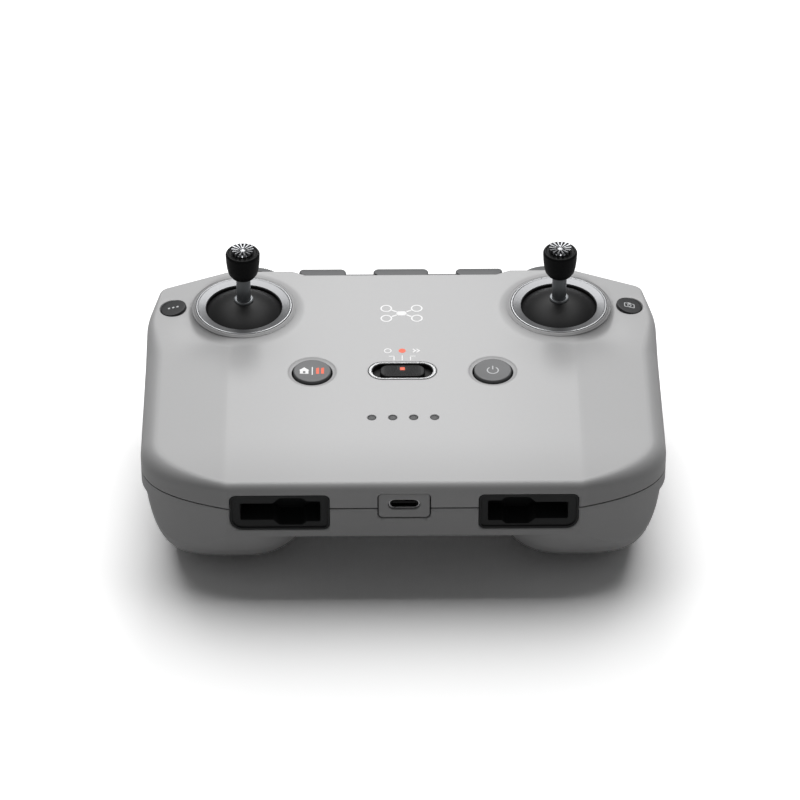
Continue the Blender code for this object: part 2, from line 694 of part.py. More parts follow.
def build_stick(side, label, finishes):
    """Make one stick unit: cup, yoke, hub, dome, stick and crown on its two axes."""
    unit = joint_empty("gimbal_" + label, (side * STICK_X, STICK_Y, PIVOT_Z))
    pitch = joint_empty("pitch_axis_" + label, (0, 0, 0), unit)
    origin = Vector((side * STICK_X, STICK_Y, PIVOT_Z))

    top = CUP_TOP_Z - PIVOT_Z
    floor = CUP_FLOOR_Z - PIVOT_Z
    bottom = CUP_BOTTOM_Z - PIVOT_Z
    profile = [(CUP_OUTER, top), (CUP_OUTER, bottom), (5 * MM, bottom), (5 * MM, floor),
               (CUP_INNER, floor), (CUP_INNER, top)]
    cup = turned("gimbal_frame_" + label, profile, finishes["frame"], parent=unit,
                 steps=MEDIUM, closed=True)
    blocks = bmesh.new()
    bores = bmesh.new()
    for end in (-1, 1):
        low, high = sorted((end * (YOKE_OUTER + 1.6 * MM), end * (CUP_INNER + CUP_WALL / 2)))
        add_box(blocks, origin + Vector((-BEARING_HALF, low, floor - CUP_WALL / 2)),
                origin + Vector((BEARING_HALF, high, BEARING_TOP)))
        add_cylinder(bores, AXLE_RADIUS + GAP, origin + Vector((0, end * YOKE_OUTER, 0)),
                     origin + Vector((0, end * (CUP_INNER - 0.4 * MM), 0)), COARSE)
    combine(cup, cutter(blocks, "bearings_" + label), "UNION")
    combine(cup, cutter(bores, "bearing_bores_" + label))

    half = YOKE_HEIGHT / 2
    profile = [(YOKE_OUTER, half), (YOKE_OUTER, -half), (YOKE_INNER, -half), (YOKE_INNER, half)]
    yoke = turned("gimbal_yoke_" + label, profile, finishes["white"], parent=unit,
                  steps=MEDIUM, closed=True)
    stubs = bmesh.new()
    holes = bmesh.new()
    for end in (-1, 1):
        add_cylinder(stubs, AXLE_RADIUS, origin + Vector((0, end * (YOKE_INNER + 0.5 * MM), 0)),
                     origin + Vector((0, end * (CUP_INNER - 1.0 * MM), 0)), COARSE)
        add_cylinder(holes, AXLE_RADIUS + GAP, origin + Vector((end * (YOKE_INNER - 2 * MM), 0, 0)),
                     origin + Vector((end * (YOKE_OUTER + 2 * MM), 0, 0)), COARSE)
    combine(yoke, cutter(stubs, "yoke_axles_" + label), "UNION")
    combine(yoke, cutter(holes, "yoke_holes_" + label))

    dome_inner = DOME_RADIUS - DOME_WALL
    post_top = dome_inner - 0.6 * MM
    hub_bm = box((-3.5 * MM, -2.5 * MM, -2.2 * MM), (3.5 * MM, 2.5 * MM, 2.2 * MM))
    hub = finish(hub_bm, "gimbal_hub_" + label, finishes["white"], parent=pitch, smooth=False)
    axle = cylinder(AXLE_RADIUS, origin + Vector((-YOKE_OUTER + 0.4 * MM, 0, 0)),
                    origin + Vector((YOKE_OUTER - 0.4 * MM, 0, 0)), COARSE)
    combine(hub, cutter(axle, "hub_axle_" + label), "UNION")
    post = cylinder(2.6 * MM, origin + Vector((0, 0, 1.0 * MM)),
                    origin + Vector((0, 0, post_top)), COARSE)
    combine(hub, cutter(post, "hub_post_" + label), "UNION")
    apex = DOME_RADIUS
    stud_bottom = apex - STUD_LENGTH
    bore = cylinder(STUD_RADIUS + GAP, origin + Vector((0, 0, stud_bottom - GAP)),
                    origin + Vector((0, 0, post_top + 3 * MM)), COARSE)
    combine(hub, cutter(bore, "hub_bore_" + label))

    hole = STUD_RADIUS + GAP
    outer_start = math.asin(hole / DOME_RADIUS)
    inner_start = math.asin(hole / dome_inner)
    count = 8
    outer_arc = [outer_start + (DOME_SKIRT - outer_start) * i / count for i in range(count + 1)]
    inner_arc = [DOME_SKIRT + (inner_start - DOME_SKIRT) * i / count for i in range(count + 1)]
    profile = [(DOME_RADIUS * math.sin(a), DOME_RADIUS * math.cos(a)) for a in outer_arc]
    profile += [(dome_inner * math.sin(a), dome_inner * math.cos(a)) for a in inner_arc]
    turned("stick_dome_" + label, profile, finishes["satin_black"], parent=pitch,
           steps=MEDIUM, closed=True)

    shaft_bottom = apex + GAP
    head = HEAD_TOP_Z - PIVOT_Z
    bowl_top = head - HEAD_HEIGHT + HEAD_BOWL_HEIGHT
    bowl_radius = HEAD_RADIUS - 0.5 * MM
    bowl = [(SHAFT_RADIUS + (bowl_radius - SHAFT_RADIUS) * math.cos(math.pi * i / 8),
             bowl_top - HEAD_BOWL_HEIGHT * math.sin(math.pi * i / 8)) for i in range(5)]
    profile = [(0, head), (HEAD_RADIUS - 0.5 * MM, head), (HEAD_RADIUS, head - 0.5 * MM),
               (HEAD_RADIUS, head - 1.4 * MM)] + bowl
    profile += [(SHAFT_RADIUS, shaft_bottom + 1.0 * MM),
                (SHAFT_RADIUS + 0.8 * MM, shaft_bottom + 0.8 * MM),
                (SHAFT_RADIUS + 0.8 * MM, shaft_bottom), (STUD_RADIUS, shaft_bottom),
                (STUD_RADIUS, stud_bottom), (0, stud_bottom)]
    turned("control_stick_" + label, profile, finishes["shaft"], parent=pitch, steps=MEDIUM)

    crown = []
    for rib in range(CROWN_RIBS):
        for share, radius in ((-0.3, 0.76), (-0.18, 1.0), (0.18, 1.0), (0.3, 0.76)):
            angle = 2 * math.pi * (rib + share) / CROWN_RIBS
            crown.append((CROWN_RADIUS * radius * math.cos(angle),
                          CROWN_RADIUS * radius * math.sin(angle)))
    bm = prism(crown, head + GAP, head + GAP + CROWN_HEIGHT)
    for vert in bm.verts:
        if vert.co.z > head + 2 * GAP:
            vert.co.x *= 0.86
            vert.co.y *= 0.86
    finish(bm, "stick_crown_" + label, finishes["steel"], parent=pitch, smooth=False)


def build_rings(finish_material):
    """Make the two trim rings that line the stick openings."""
    seat = COLLAR_TOP_Z + GAP
    profile = [(RING_OUTER - 0.25 * MM, seat + 0.85 * MM), (RING_OUTER, seat + 0.6 * MM),
               (RING_OUTER, seat), (RING_INNER + SLEEVE_WALL, seat),
               (RING_INNER + SLEEVE_WALL, seat - 1.8 * MM), (RING_INNER, seat - 1.8 * MM),
               (RING_INNER, seat + 0.1 * MM), (RING_INNER + 0.2 * MM, seat + 0.25 * MM)]
    for side, label in ((-1, "left"), (1, "right")):
        turned("stick_trim_ring_" + label, profile, finish_material,
               (side * STICK_X, STICK_Y, 0), steps=FINE, closed=True)


# ----------------------------------------------------------------------------------------------
# Buttons, slider, lights


def button_profile(radius, flange, top, flange_top, bottom):
    """Return a button's profile: a cap with a broken edge on a wider flange."""
    edge = 0.4 * MM
    return [(0, top), (radius - edge, top), (radius, top - edge), (radius, flange_top),
            (flange, flange_top), (flange, bottom), (0, bottom)]


def build_round_buttons(finishes):
    """Make the home and pause button and the power button with their switches."""
    bottom = BOARD_TOP_Z + GAP + SWITCH_HEIGHT + PRESS_TRAVEL + 0.1 * MM
    flange_top = TOP_Z - SKIN - GAP
    profile = button_profile(BUTTON_RADIUS, BUTTON_FLANGE, TOP_Z + BUTTON_PROUD,
                             flange_top, bottom)
    for side, name in ((-1, "home_pause_button"), (1, "power_button")):
        turned(name, profile, finishes["button"], (side * BUTTON_X, BUTTON_Y, 0))
        bm = box((side * BUTTON_X - 3 * MM, BUTTON_Y - 3 * MM, BOARD_TOP_Z + GAP),
                 (side * BUTTON_X + 3 * MM, BUTTON_Y + 3 * MM, BOARD_TOP_Z + GAP + SWITCH_HEIGHT))
        finish(bm, name.replace("button", "switch"), finishes["steel"], smooth=False)


def build_corner_buttons(finishes):
    """Make the two small tilted shoulder buttons and the switches under them."""
    top = 0.5 * MM
    bottom = top - CORNER_BUTTON_LENGTH
    profile = [(0, top), (CORNER_BUTTON_RADIUS - 0.5 * MM, top),
               (CORNER_BUTTON_RADIUS, top - 0.4 * MM), (CORNER_BUTTON_RADIUS, bottom),
               (0, bottom)]
    for side, name in ((-1, "custom_button"), (1, "camera_button")):
        place = (side * CORNER_BUTTON_X, CORNER_BUTTON_Y, CORNER_BUTTON_Z)
        turn = (0, side * CORNER_BUTTON_TILT, 0)
        turned(name, profile, finishes["satin_black"], place, turn=turn)
        switch_top = bottom - PRESS_TRAVEL - 0.2 * MM
        bm = box((-2.2 * MM, -2.2 * MM, switch_top - 1.3 * MM), (2.2 * MM, 2.2 * MM, switch_top))
        finish(bm, name.replace("button", "switch"), finishes["steel"], place, turn, smooth=False)


def build_mode_slider(finishes):
    """Make the mode slider, the well that it runs in and its switch."""
    well_floor = TOP_Z - 2.4 * MM
    well_bottom = well_floor - 0.8 * MM
    stem_half = 1.5 * MM
    run = WELL_HALF_LENGTH - WELL_RIM - SLIDER_HALF_LENGTH
    well = finish(prism(stadium(WELL_HALF_LENGTH, WELL_HALF_WIDTH, (0, WELL_Y)),
                        well_bottom, TOP_Z - 0.1 * MM), "mode_switch_well", finishes["gloss_grey"])
    hollow = prism(stadium(WELL_HALF_LENGTH - WELL_RIM, WELL_HALF_WIDTH - WELL_RIM, (0, WELL_Y)),
                   well_floor, TOP_Z + 2 * MM)
    combine(well, cutter(hollow, "well_hollow"))
    slot = box((-stem_half - run, WELL_Y - 1.1 * MM, well_bottom - 1 * MM),
               (stem_half + run, WELL_Y + 1.1 * MM, well_floor + 0.5 * MM))
    combine(well, cutter(slot, "well_slot"))

    cap_bottom = well_floor + GAP
    cap_top = TOP_Z + 0.1 * MM
    cap = prism(stadium(SLIDER_HALF_LENGTH, SLIDER_HALF_WIDTH, (0, 0)), cap_bottom, cap_top)
    slider = finish(cap, "mode_switch_slider", finishes["satin_black"], (0, WELL_Y, 0))
    switch_top = BOARD_TOP_Z + GAP + 0.6 * MM
    stem = box((-stem_half, WELL_Y - 0.7 * MM, switch_top + GAP),
               (stem_half, WELL_Y + 0.7 * MM, cap_bottom + 0.4 * MM))
    combine(slider, cutter(stem, "slider_stem"), "UNION")
    bm = box((-5.5 * MM, WELL_Y - 2 * MM, BOARD_TOP_Z + GAP), (5.5 * MM, WELL_Y + 2 * MM, switch_top))
    finish(bm, "mode_switch_body", finishes["steel"], smooth=False)


def build_light_pipe(finish_material):
    """Make the light pipe: a bar under the top face with four window posts."""
    bar_top = TOP_Z - SKIN - GAP
    half = 1.5 * LIGHT_PITCH + 1.6 * MM
    bar = box((-half, LIGHT_Y - 1.6 * MM, bar_top - 1.0 * MM), (half, LIGHT_Y + 1.6 * MM, bar_top))
    pipe = finish(bar, "status_light_pipe", finish_material, smooth=False)
    posts = bmesh.new()
    for i in range(4):
        x = (i - 1.5) * LIGHT_PITCH
        add_cylinder(posts, LIGHT_RADIUS, (x, LIGHT_Y, bar_top - 0.5 * MM),
                     (x, LIGHT_Y, TOP_Z - 0.1 * MM), COARSE)
    combine(pipe, cutter(posts, "light_posts"), "UNION")


def build_shoulder_controls(finishes):
    """Make the gimbal dial with its axle, and the shutter button with its switch."""
    rim_inner = DIAL_RADIUS - DIAL_RIM
    quarter = math.pi / 2
    top = DIAL_TOP_Z
    start, end = quarter - DIAL_HALF_ANGLE, quarter + DIAL_HALF_ANGLE
    ridges = 2 * 21
    outer = []
    for i in range(ridges + 1):
        angle = start + (end - start) * i / ridges
        radius = DIAL_RADIUS - (0.25 * MM if i % 2 else 0.0)
        outer.append((radius * math.cos(angle), radius * math.sin(angle)))
    rim_outline = outer + arc((0, 0), rim_inner, end, start, 12)
    rim = prism(rim_outline, top - DIAL_HEIGHT, top)
    dial = finish(rim, "gimbal_dial", finishes["control"], (-SHOULDER_X, DIAL_Y, 0))
    hub_radius = DIAL_AXLE_RADIUS + GAP + 0.9 * MM
    web_end = rim_inner + 0.6 * MM
    web_outline = arc((0, 0), web_end, start + 0.05, end - 0.05, 10)
    web_outline += arc((0, 0), hub_radius, math.pi, 2 * math.pi, 8)
    web_outline = [(x - SHOULDER_X, y + DIAL_Y) for x, y in web_outline]
    web = prism(web_outline, DIAL_WEB_Z, DIAL_WEB_Z + DIAL_WEB)
    combine(dial, cutter(web, "dial_web"), "UNION")
    bore = cylinder(DIAL_AXLE_RADIUS + GAP, (-SHOULDER_X, DIAL_Y, DIAL_WEB_Z - 5 * MM),
                    (-SHOULDER_X, DIAL_Y, DIAL_WEB_Z + 5 * MM), COARSE)
    combine(dial, cutter(bore, "dial_bore"))
    finish(cylinder(DIAL_AXLE_RADIUS, (0, 0, DIAL_WEB_Z), (0, 0, DIAL_TOP_Z), COARSE),
           "gimbal_dial_axle", finishes["steel"], (-SHOULDER_X, DIAL_Y, 0))

    back = BACK_Y - WALL - GAP
    half_angle = math.asin(SHUTTER_HALF / DIAL_RADIUS)
    face = arc((0, DIAL_Y - back), DIAL_RADIUS, quarter - half_angle, quarter + half_angle, 14)
    outline = face + [(-SHUTTER_HALF, 0), (SHUTTER_HALF, 0)]
    finish(prism(outline, top - DIAL_HEIGHT, top), "shutter_button", finishes["control"],
           (SHOULDER_X, back, 0))
    switch_back = back - SHUTTER_TRAVEL - GAP
    bm = box((SHOULDER_X - 2 * MM, switch_back - 1.8 * MM, CUP_TOP_Z + GAP),
             (SHOULDER_X + 2 * MM, switch_back, CUP_TOP_Z + GAP + 1.1 * MM))
    finish(bm, "shutter_switch", finishes["steel"], smooth=False)


# ----------------------------------------------------------------------------------------------
# Front face


def build_liner(side, label, finish_material):
    """Make a storage liner: a block with one pocket for a stick's head and one for its shaft."""
    front = FRONT_Y + 0.5 * MM
    low, high = sorted((side * (SLOT_INNER + GAP), side * (SLOT_OUTER - GAP)))
    outline = rounded_rectangle((low, SLOT_BOTTOM_Z + GAP), (high, SLOT_TOP_Z - GAP),
                                SLOT_ROUND - GAP)
    block = prism(outline, front, FRONT_Y + LINER_DEPTH, "Y")
    liner = finish(block, "stick_slot_liner_" + label, finish_material)
    middle = (SLOT_TOP_Z + SLOT_BOTTOM_Z) / 2
    head_half = HEAD_RADIUS - 0.2 * MM
    head_inner = SLOT_INNER + 6.3 * MM
    head_outer = head_inner + 9.4 * MM
    pieces = [(head_inner, head_outer, head_half), (head_outer - 0.2 * MM, SLOT_OUTER - 3.2 * MM,
                                                    2.8 * MM),
              (SLOT_INNER + 2.6 * MM, head_inner + 0.2 * MM, 3.7 * MM)]
    for index, (near, far, half) in enumerate(pieces):
        low, high = sorted((side * near, side * far))
        shape = rounded_rectangle((low, middle - half), (high, middle + half), 1.2 * MM, 3)
        hollow = prism(shape, FRONT_Y - 2 * MM, FRONT_Y + POCKET_DEPTH, "Y")
        combine(liner, cutter(hollow, f"pocket_{label}_{index + 1}"))


def build_usb(finishes):
    """Make the USB port: bezel, metal shell and contact tongue."""
    plate = prism(rounded_rectangle((-BEZEL_HALF, BEZEL_BOTTOM_Z), (BEZEL_HALF, BEZEL_TOP_Z),
                                    1.2 * MM), FRONT_Y + 0.1 * MM, FRONT_Y + BEZEL_THICKNESS, "Y")
    bezel = finish(plate, "usb_port_bezel", finishes["dark_shell"])
    port = stadium(PORT_HALF_WIDTH, PORT_HALF_HEIGHT, (0, USB_Z), 6)
    hole = prism(port, FRONT_Y - 2 * MM, FRONT_Y + 5 * MM, "Y")
    combine(bezel, cutter(hole, "usb_hole"))

    start = FRONT_Y + 0.8 * MM
    end = start + USB_LENGTH
    outer = stadium(PORT_HALF_WIDTH - GAP, PORT_HALF_HEIGHT - GAP, (0, USB_Z), 6)
    shell = finish(prism(outer, start, end, "Y"), "usb_c_shell", finishes["steel"])
    inner = stadium(PORT_HALF_WIDTH - GAP - USB_SHELL_WALL,
                    PORT_HALF_HEIGHT - GAP - USB_SHELL_WALL, (0, USB_Z), 6)
    hollow = prism(inner, start - 1 * MM, end - 0.6 * MM, "Y")
    combine(shell, cutter(hollow, "usb_hollow"))
    bm = box((-3.3 * MM, start + 0.6 * MM, USB_Z - 0.35 * MM),
             (3.3 * MM, end - 0.9 * MM, USB_Z + 0.35 * MM))
    finish(bm, "usb_c_tongue", finishes["satin_black"], smooth=False)


# ----------------------------------------------------------------------------------------------
# Electronics and clamp


def build_electronics(finishes):
    """Make the main circuit board and the two battery cells."""
    front = FRONT_Y + 0.8 * MM + USB_LENGTH - 3 * MM
    wide_front = FRONT_Y + LINER_DEPTH + 1.0 * MM
    wide_back = STICK_Y - CUP_OUTER - 4.0 * MM
    back = RECESS_Y - WALL - 1.0 * MM
    tongue = SLOT_INNER - 1.0 * MM
    wide = HALF_WIDTH - 13.0 * MM
    narrow = STICK_X - CUP_OUTER - 1.9 * MM
    half = [(tongue, front), (tongue, wide_front), (wide, wide_front), (wide, wide_back),
            (narrow, wide_back), (narrow, back)]
    outline = half + [(-x, y) for x, y in reversed(half)]
    bm = prism(outline, BOARD_TOP_Z - BOARD_THICKNESS, BOARD_TOP_Z)
    board = finish(bm, "main_circuit_board", finishes["board"], smooth=False)
    holes = bmesh.new()
    for x, y in screw_places():
        add_cylinder(holes, UPPER_BOSS + 2 * GAP, (x, y, BOARD_TOP_Z - 5 * MM),
                     (x, y, BOARD_TOP_Z + 5 * MM), COARSE)
    combine(board, cutter(holes, "board_holes"))

    middle = FRONT_Y + 18.1 * MM + CELL_LENGTH / 2
    height = CELL_BOTTOM_Z + CELL_RADIUS
    for side, label in ((-1, "left"), (1, "right")):
        start = (side * CELL_X, middle - CELL_LENGTH / 2, height)
        end = (side * CELL_X, middle + CELL_LENGTH / 2, height)
        finish(cylinder(CELL_RADIUS, start, end, MEDIUM), "battery_cell_" + label,
               finishes["cell"])


def tab_outlines():
    """Return the plan outlines of the clamp's three lips."""
    outer = [(BAR_HALF - TAB_WIDTH, TAB_Y), (NOTCH_HALF, TAB_Y),
             (BAR_HALF, TAB_Y + (BAR_HALF - NOTCH_HALF) * NOTCH_DEPTH / NOTCH_RUN),
             (BAR_HALF, TAB_END_Y - 0.8 * MM), (BAR_HALF - 0.8 * MM, TAB_END_Y),
             (BAR_HALF - TAB_WIDTH, TAB_END_Y)]
    centre = [(-TAB_CENTRE_HALF, TAB_Y), (TAB_CENTRE_HALF, TAB_Y),
              (TAB_CENTRE_HALF, TAB_END_Y), (-TAB_CENTRE_HALF, TAB_END_Y)]
    return [outer, centre, [(-x, y) for x, y in reversed(outer)]]


def build_clamp(finishes):
    """Make the phone clamp: sliding plate, bar with three lips, pads and antennas."""
    plate = box((-PLATE_HALF, PLATE_FRONT_Y, PLATE_Z),
                (PLATE_HALF, BAR_Y - GAP, PLATE_Z + PLATE_THICKNESS))
    plate_obj = finish(plate, "clamp_plate", finishes["control"], smooth=False)
    groove = bmesh.new()
    for side in (-1, 1):
        low, high = sorted((side * (PLATE_HALF - 4 * MM), side * (PLATE_HALF - 2 * MM)))
        add_box(groove, (low, PLATE_FRONT_Y + 6 * MM, PLATE_Z + PLATE_THICKNESS - 0.8 * MM),
                (high, BAR_Y - 6 * MM, PLATE_Z + PLATE_THICKNESS + 1 * MM))
    combine(plate_obj, cutter(groove, "plate_grooves"))

    bar_bottom = RECESS_FLOOR_Z + GAP
    bar_top = LIP_Z - GAP
    bar = finish(box((-BAR_HALF, BAR_Y, bar_bottom), (BAR_HALF, TAB_END_Y, bar_top)),
                 "clamp_bar", finishes["control"], smooth=False)
    for index, outline in enumerate(tab_outlines()):
        lip = prism(outline, bar_top - 1 * MM, TAB_Z)
        combine(bar, cutter(lip, f"clamp_lip_{index + 1}"), "UNION")
    pad_bottom = PLATE_Z + PLATE_THICKNESS + 1.0 * MM
    pad_inner = 3.0 * MM
    antenna_inner = pad_inner + 1.5 * MM
    pockets = bmesh.new()
    for side in (-1, 1):
        low, high = sorted((side * antenna_inner, side * (BAR_HALF - 2 * MM)))
        add_box(pockets, (low, BAR_Y - 1 * MM, pad_bottom + 1 * MM),
                (high, BAR_Y + 3.6 * MM, bar_top - 1.6 * MM))
    combine(bar, cutter(pockets, "antenna_pockets"))
    for side, label in ((-1, "left"), (1, "right")):
        low, high = sorted((side * (antenna_inner + GAP), side * (BAR_HALF - 2 * MM - GAP)))
        bm = box((low, BAR_Y + 1.6 * MM, pad_bottom + 1 * MM + GAP),
                 (high, BAR_Y + 2.6 * MM, bar_top - 1.6 * MM - GAP))
        finish(bm, "antenna_" + label, finishes["board"], smooth=False)
        low, high = sorted((side * pad_inner, side * (BAR_HALF - 0.6 * MM)))
        bm = box((low, BAR_Y - GAP - PAD_THICKNESS, pad_bottom), (high, BAR_Y - GAP, bar_top))
        finish(bm, "clamp_pad_" + label, finishes["rubber"], smooth=False)
    bm = box((-BAR_HALF + 2 * MM, RECESS_Y + GAP, pad_bottom),
             (BAR_HALF - 2 * MM, RECESS_Y + GAP + PAD_THICKNESS, bar_top - 0.6 * MM))
    finish(bm, "phone_slot_pad", finishes["rubber"], smooth=False)


def main():
    """Build the whole remote."""
    finishes = {
        "light_shell": material("light_shell", (0.56, 0.57, 0.58), 0.55),
        "dark_shell": material("dark_shell", (0.13, 0.135, 0.14), 0.6),
        "steel": material("steel", (0.62, 0.62, 0.62), 0.3, 1.0),
        "ring": material("ring", (0.35, 0.36, 0.37), 0.2, 1.0),
        "frame": material("frame", (0.05, 0.05, 0.055), 0.6),
        "white": material("white", (0.75, 0.75, 0.73), 0.5),
        "satin_black": material("satin_black", (0.015, 0.015, 0.017), 0.4),
        "shaft": material("shaft", (0.045, 0.048, 0.05), 0.45),
        "button": material("button", (0.14, 0.145, 0.15), 0.5),
        "gloss_grey": material("gloss_grey", (0.3, 0.31, 0.32), 0.2),
        "pocket": material("pocket", (0.012, 0.012, 0.012), 0.7),
        "control": material("control", (0.16, 0.165, 0.17), 0.6),
        "light": material("light", (0.06, 0.062, 0.065), 0.25),
        "board": material("board", (0.01, 0.09, 0.04), 0.5),
        "cell": material("cell", (0.02, 0.1, 0.28), 0.4),
        "rubber": material("rubber", (0.02, 0.02, 0.02), 0.85),
    }
    build_upper_shell(finishes["light_shell"])
    build_lower_shell(finishes["dark_shell"])
    build_screws(finishes["steel"])
    for side, label in ((-1, "left"), (1, "right")):
        build_stick(side, label, finishes)
        build_liner(side, label, finishes["pocket"])
    build_rings(finishes["ring"])
    build_round_buttons(finishes)
    build_corner_buttons(finishes)
    build_mode_slider(finishes)
    build_light_pipe(finishes["light"])
    build_shoulder_controls(finishes)
    build_usb(finishes)
    build_electronics(finishes)
    build_clamp(finishes)


clear_scene()
PARTS = collection("drone_remote")
CUTTERS = collection("cutters")
main()
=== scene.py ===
"""Looks of a handheld drone remote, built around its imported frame.

Pieces are worked out in millimetres and put into their meshes in metres. +X is the user's right,
+Y points away from the user and +Z is up from the surface that the two grips rest on.
"""

import logging
import math
from dataclasses import dataclass
from enum import Enum
from functools import cached_property
from typing import Callable, Sequence

import bmesh
import bpy
import numpy as np
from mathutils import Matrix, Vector
from mathutils.geometry import delaunay_2d_cdt


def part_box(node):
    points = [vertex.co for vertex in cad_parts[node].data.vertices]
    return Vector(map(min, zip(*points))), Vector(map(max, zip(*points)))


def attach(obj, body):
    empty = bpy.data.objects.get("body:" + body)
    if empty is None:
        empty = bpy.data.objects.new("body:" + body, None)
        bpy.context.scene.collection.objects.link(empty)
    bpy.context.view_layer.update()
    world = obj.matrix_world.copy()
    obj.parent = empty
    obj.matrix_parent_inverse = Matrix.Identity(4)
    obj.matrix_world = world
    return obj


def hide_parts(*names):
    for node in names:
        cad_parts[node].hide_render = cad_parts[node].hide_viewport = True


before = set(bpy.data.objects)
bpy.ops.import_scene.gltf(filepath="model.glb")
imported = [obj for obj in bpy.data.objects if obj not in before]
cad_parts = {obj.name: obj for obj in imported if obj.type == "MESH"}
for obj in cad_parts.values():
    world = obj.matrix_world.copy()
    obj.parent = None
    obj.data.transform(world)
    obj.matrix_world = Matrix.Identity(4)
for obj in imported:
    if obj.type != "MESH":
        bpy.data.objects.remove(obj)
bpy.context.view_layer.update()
LOG = logging.getLogger("drone_remote")

MM = 0.001
WELD = 0.002                 # points closer than this are one point, in mm
SLIVER = 1e-4                # triangles smaller than this are left out, in square mm
QUARTER = math.pi / 2
SHOULDER_X = 43.6            # the dial's and shutter's centre from the middle, in mm
SHOULDER_REACH = 4.2         # how far they stand out behind the housing, in mm
SHOULDER_RADIUS = 8.9        # the radius of their faces in plan, in mm
Array = np.ndarray
Place = Callable[[Array, Array | float], Array]


# ----------------------------------------------------------------------------------------------
# Plan curves


def span(node: str) -> tuple[Array, Array]:
    """Read a CAD node's box.

    Args:
        node: the node's name.

    Returns:
        Its lowest and highest corner, in mm.
    """
    low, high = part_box(node)
    return np.array(low) / MM, np.array(high) / MM


def middle(node: str) -> Array:
    """Return the centre of a CAD node's box, in mm."""
    low, high = span(node)
    return (low + high) / 2


def arc(centre: Sequence[float], radius: float, start: float, end: float, count: int) -> Array:
    """Points on an arc: the centre plus the radius times the cosine and sine of the angle."""
    angle = np.linspace(start, end, count)
    return np.stack([centre[0] + radius * np.cos(angle), centre[1] + radius * np.sin(angle)], 1)


def circle(centre: Sequence[float], radius: float, count: int = 96) -> Array:
    """Points on a whole circle, counter-clockwise."""
    return arc(centre, radius, 0.0, 2 * math.pi, count + 1)[:-1]


def rounded(corners: Sequence[Sequence[float]], radius: float | Sequence[float],
            steps: int = 6, closed: bool = True) -> Array:
    """Round the corners of a line.

    Each corner becomes a circular arc that touches both of its sides, written as a rational
    curve of the second degree: its ends lie radius / tan(half the corner's angle) from the corner.

    Args:
        corners: the corner points.
        radius: one radius, or one for each corner.
        steps: points on each arc.
        closed: whether the last corner joins the first.

    Returns:
        The points of the rounded line.
    """
    points = np.asarray(corners, float)
    radii = np.broadcast_to(np.asarray(radius, float), len(points)).copy()
    if not closed:
        radii[[0, -1]] = 0.0
    back, ahead = np.roll(points, 1, 0) - points, np.roll(points, -1, 0) - points
    back_length = np.linalg.norm(back, axis=1, keepdims=True)
    ahead_length = np.linalg.norm(ahead, axis=1, keepdims=True)
    back, ahead = back / back_length, ahead / ahead_length
    half = np.arccos(np.clip((back * ahead).sum(1, keepdims=True), -1.0, 1.0)) / 2
    reach = np.minimum(radii[:, None] / np.tan(np.maximum(half, 0.01)),
                       0.49 * np.minimum(back_length, ahead_length))
    share = np.linspace(0.0, 1.0, steps)[None, :, None]
    weights = ((1 - share) ** 2, 2 * share * (1 - share) * np.sin(half)[:, None], share ** 2)
    ends = ((points + back * reach)[:, None], points[:, None], (points + ahead * reach)[:, None])
    curve = sum(w * p for w, p in zip(weights, ends)) / sum(weights)
    curve = curve.reshape(-1, points.shape[1])
    apart = np.linalg.norm(curve - np.roll(curve, 1, 0), axis=1) > WELD
    apart[0] = apart[0] or not closed
    return curve[apart]


def spaced(line: Array, spacing: float, closed: bool = True) -> Array:
    """Add points on a line's long sides, so that none is longer than the spacing.

    Args:
        line: the points, one row each.
        spacing: the longest side allowed.
        closed: whether the last point joins the first.

    Returns:
        The line with the added points.
    """
    ends = np.roll(line, -1, 0)
    lengths = np.linalg.norm(ends - line, axis=1)
    counts = np.maximum(1, np.ceil(lengths / spacing - 1e-6)).astype(int)
    if not closed:
        counts[-1] = 1
    owner = np.repeat(np.arange(len(line)), counts)
    first = np.repeat(np.cumsum(counts) - counts, counts)
    share = ((np.arange(len(owner)) - first) / counts[owner])[:, None]
    return line[owner] * (1 - share) + ends[owner] * share


def offset(loop: Array, distance: Array | float) -> Array:
    """Move a closed counter-clockwise loop inward.

    Each point moves along the mean of its two sides' normals, by the distance divided by the
    cosine of half the turn, so that both sides move by the distance.

    Args:
        loop: the points in plan.
        distance: how far, one value or one for each point; a negative one moves outward.

    Returns:
        The moved points.
    """
    ahead = np.roll(loop, -1, 0) - loop
    ahead /= np.linalg.norm(ahead, axis=1, keepdims=True)
    back = np.roll(ahead, 1, 0)
    normal = np.stack([-(ahead + back)[:, 1], (ahead + back)[:, 0]], 1)
    stretch = 1 + (ahead * back).sum(1, keepdims=True)
    distances = np.broadcast_to(np.asarray(distance, float), len(loop))[:, None]
    return loop + normal * distances / stretch


def stadium(half_length: float, half_width: float, centre: Sequence[float] = (0.0, 0.0),
            count: int = 24) -> Array:
    """A slot's outline with round ends, long in its first direction."""
    reach = half_length - half_width
    right = arc((centre[0] + reach, centre[1]), half_width, -QUARTER, QUARTER, count)
    left = arc((centre[0] - reach, centre[1]), half_width, QUARTER, 3 * QUARTER, count)
    return spaced(np.concatenate([right, left]), 0.7)


def rectangle(low: Sequence[float], high: Sequence[float], radius: float | Sequence[float] = 0.5,
              steps: int = 6) -> Array:
    """A rectangle's outline with round corners, from the low corner, counter-clockwise."""
    corners = [(low[0], low[1]), (high[0], low[1]), (high[0], high[1]), (low[0], high[1])]
    return rounded(corners, radius, steps)


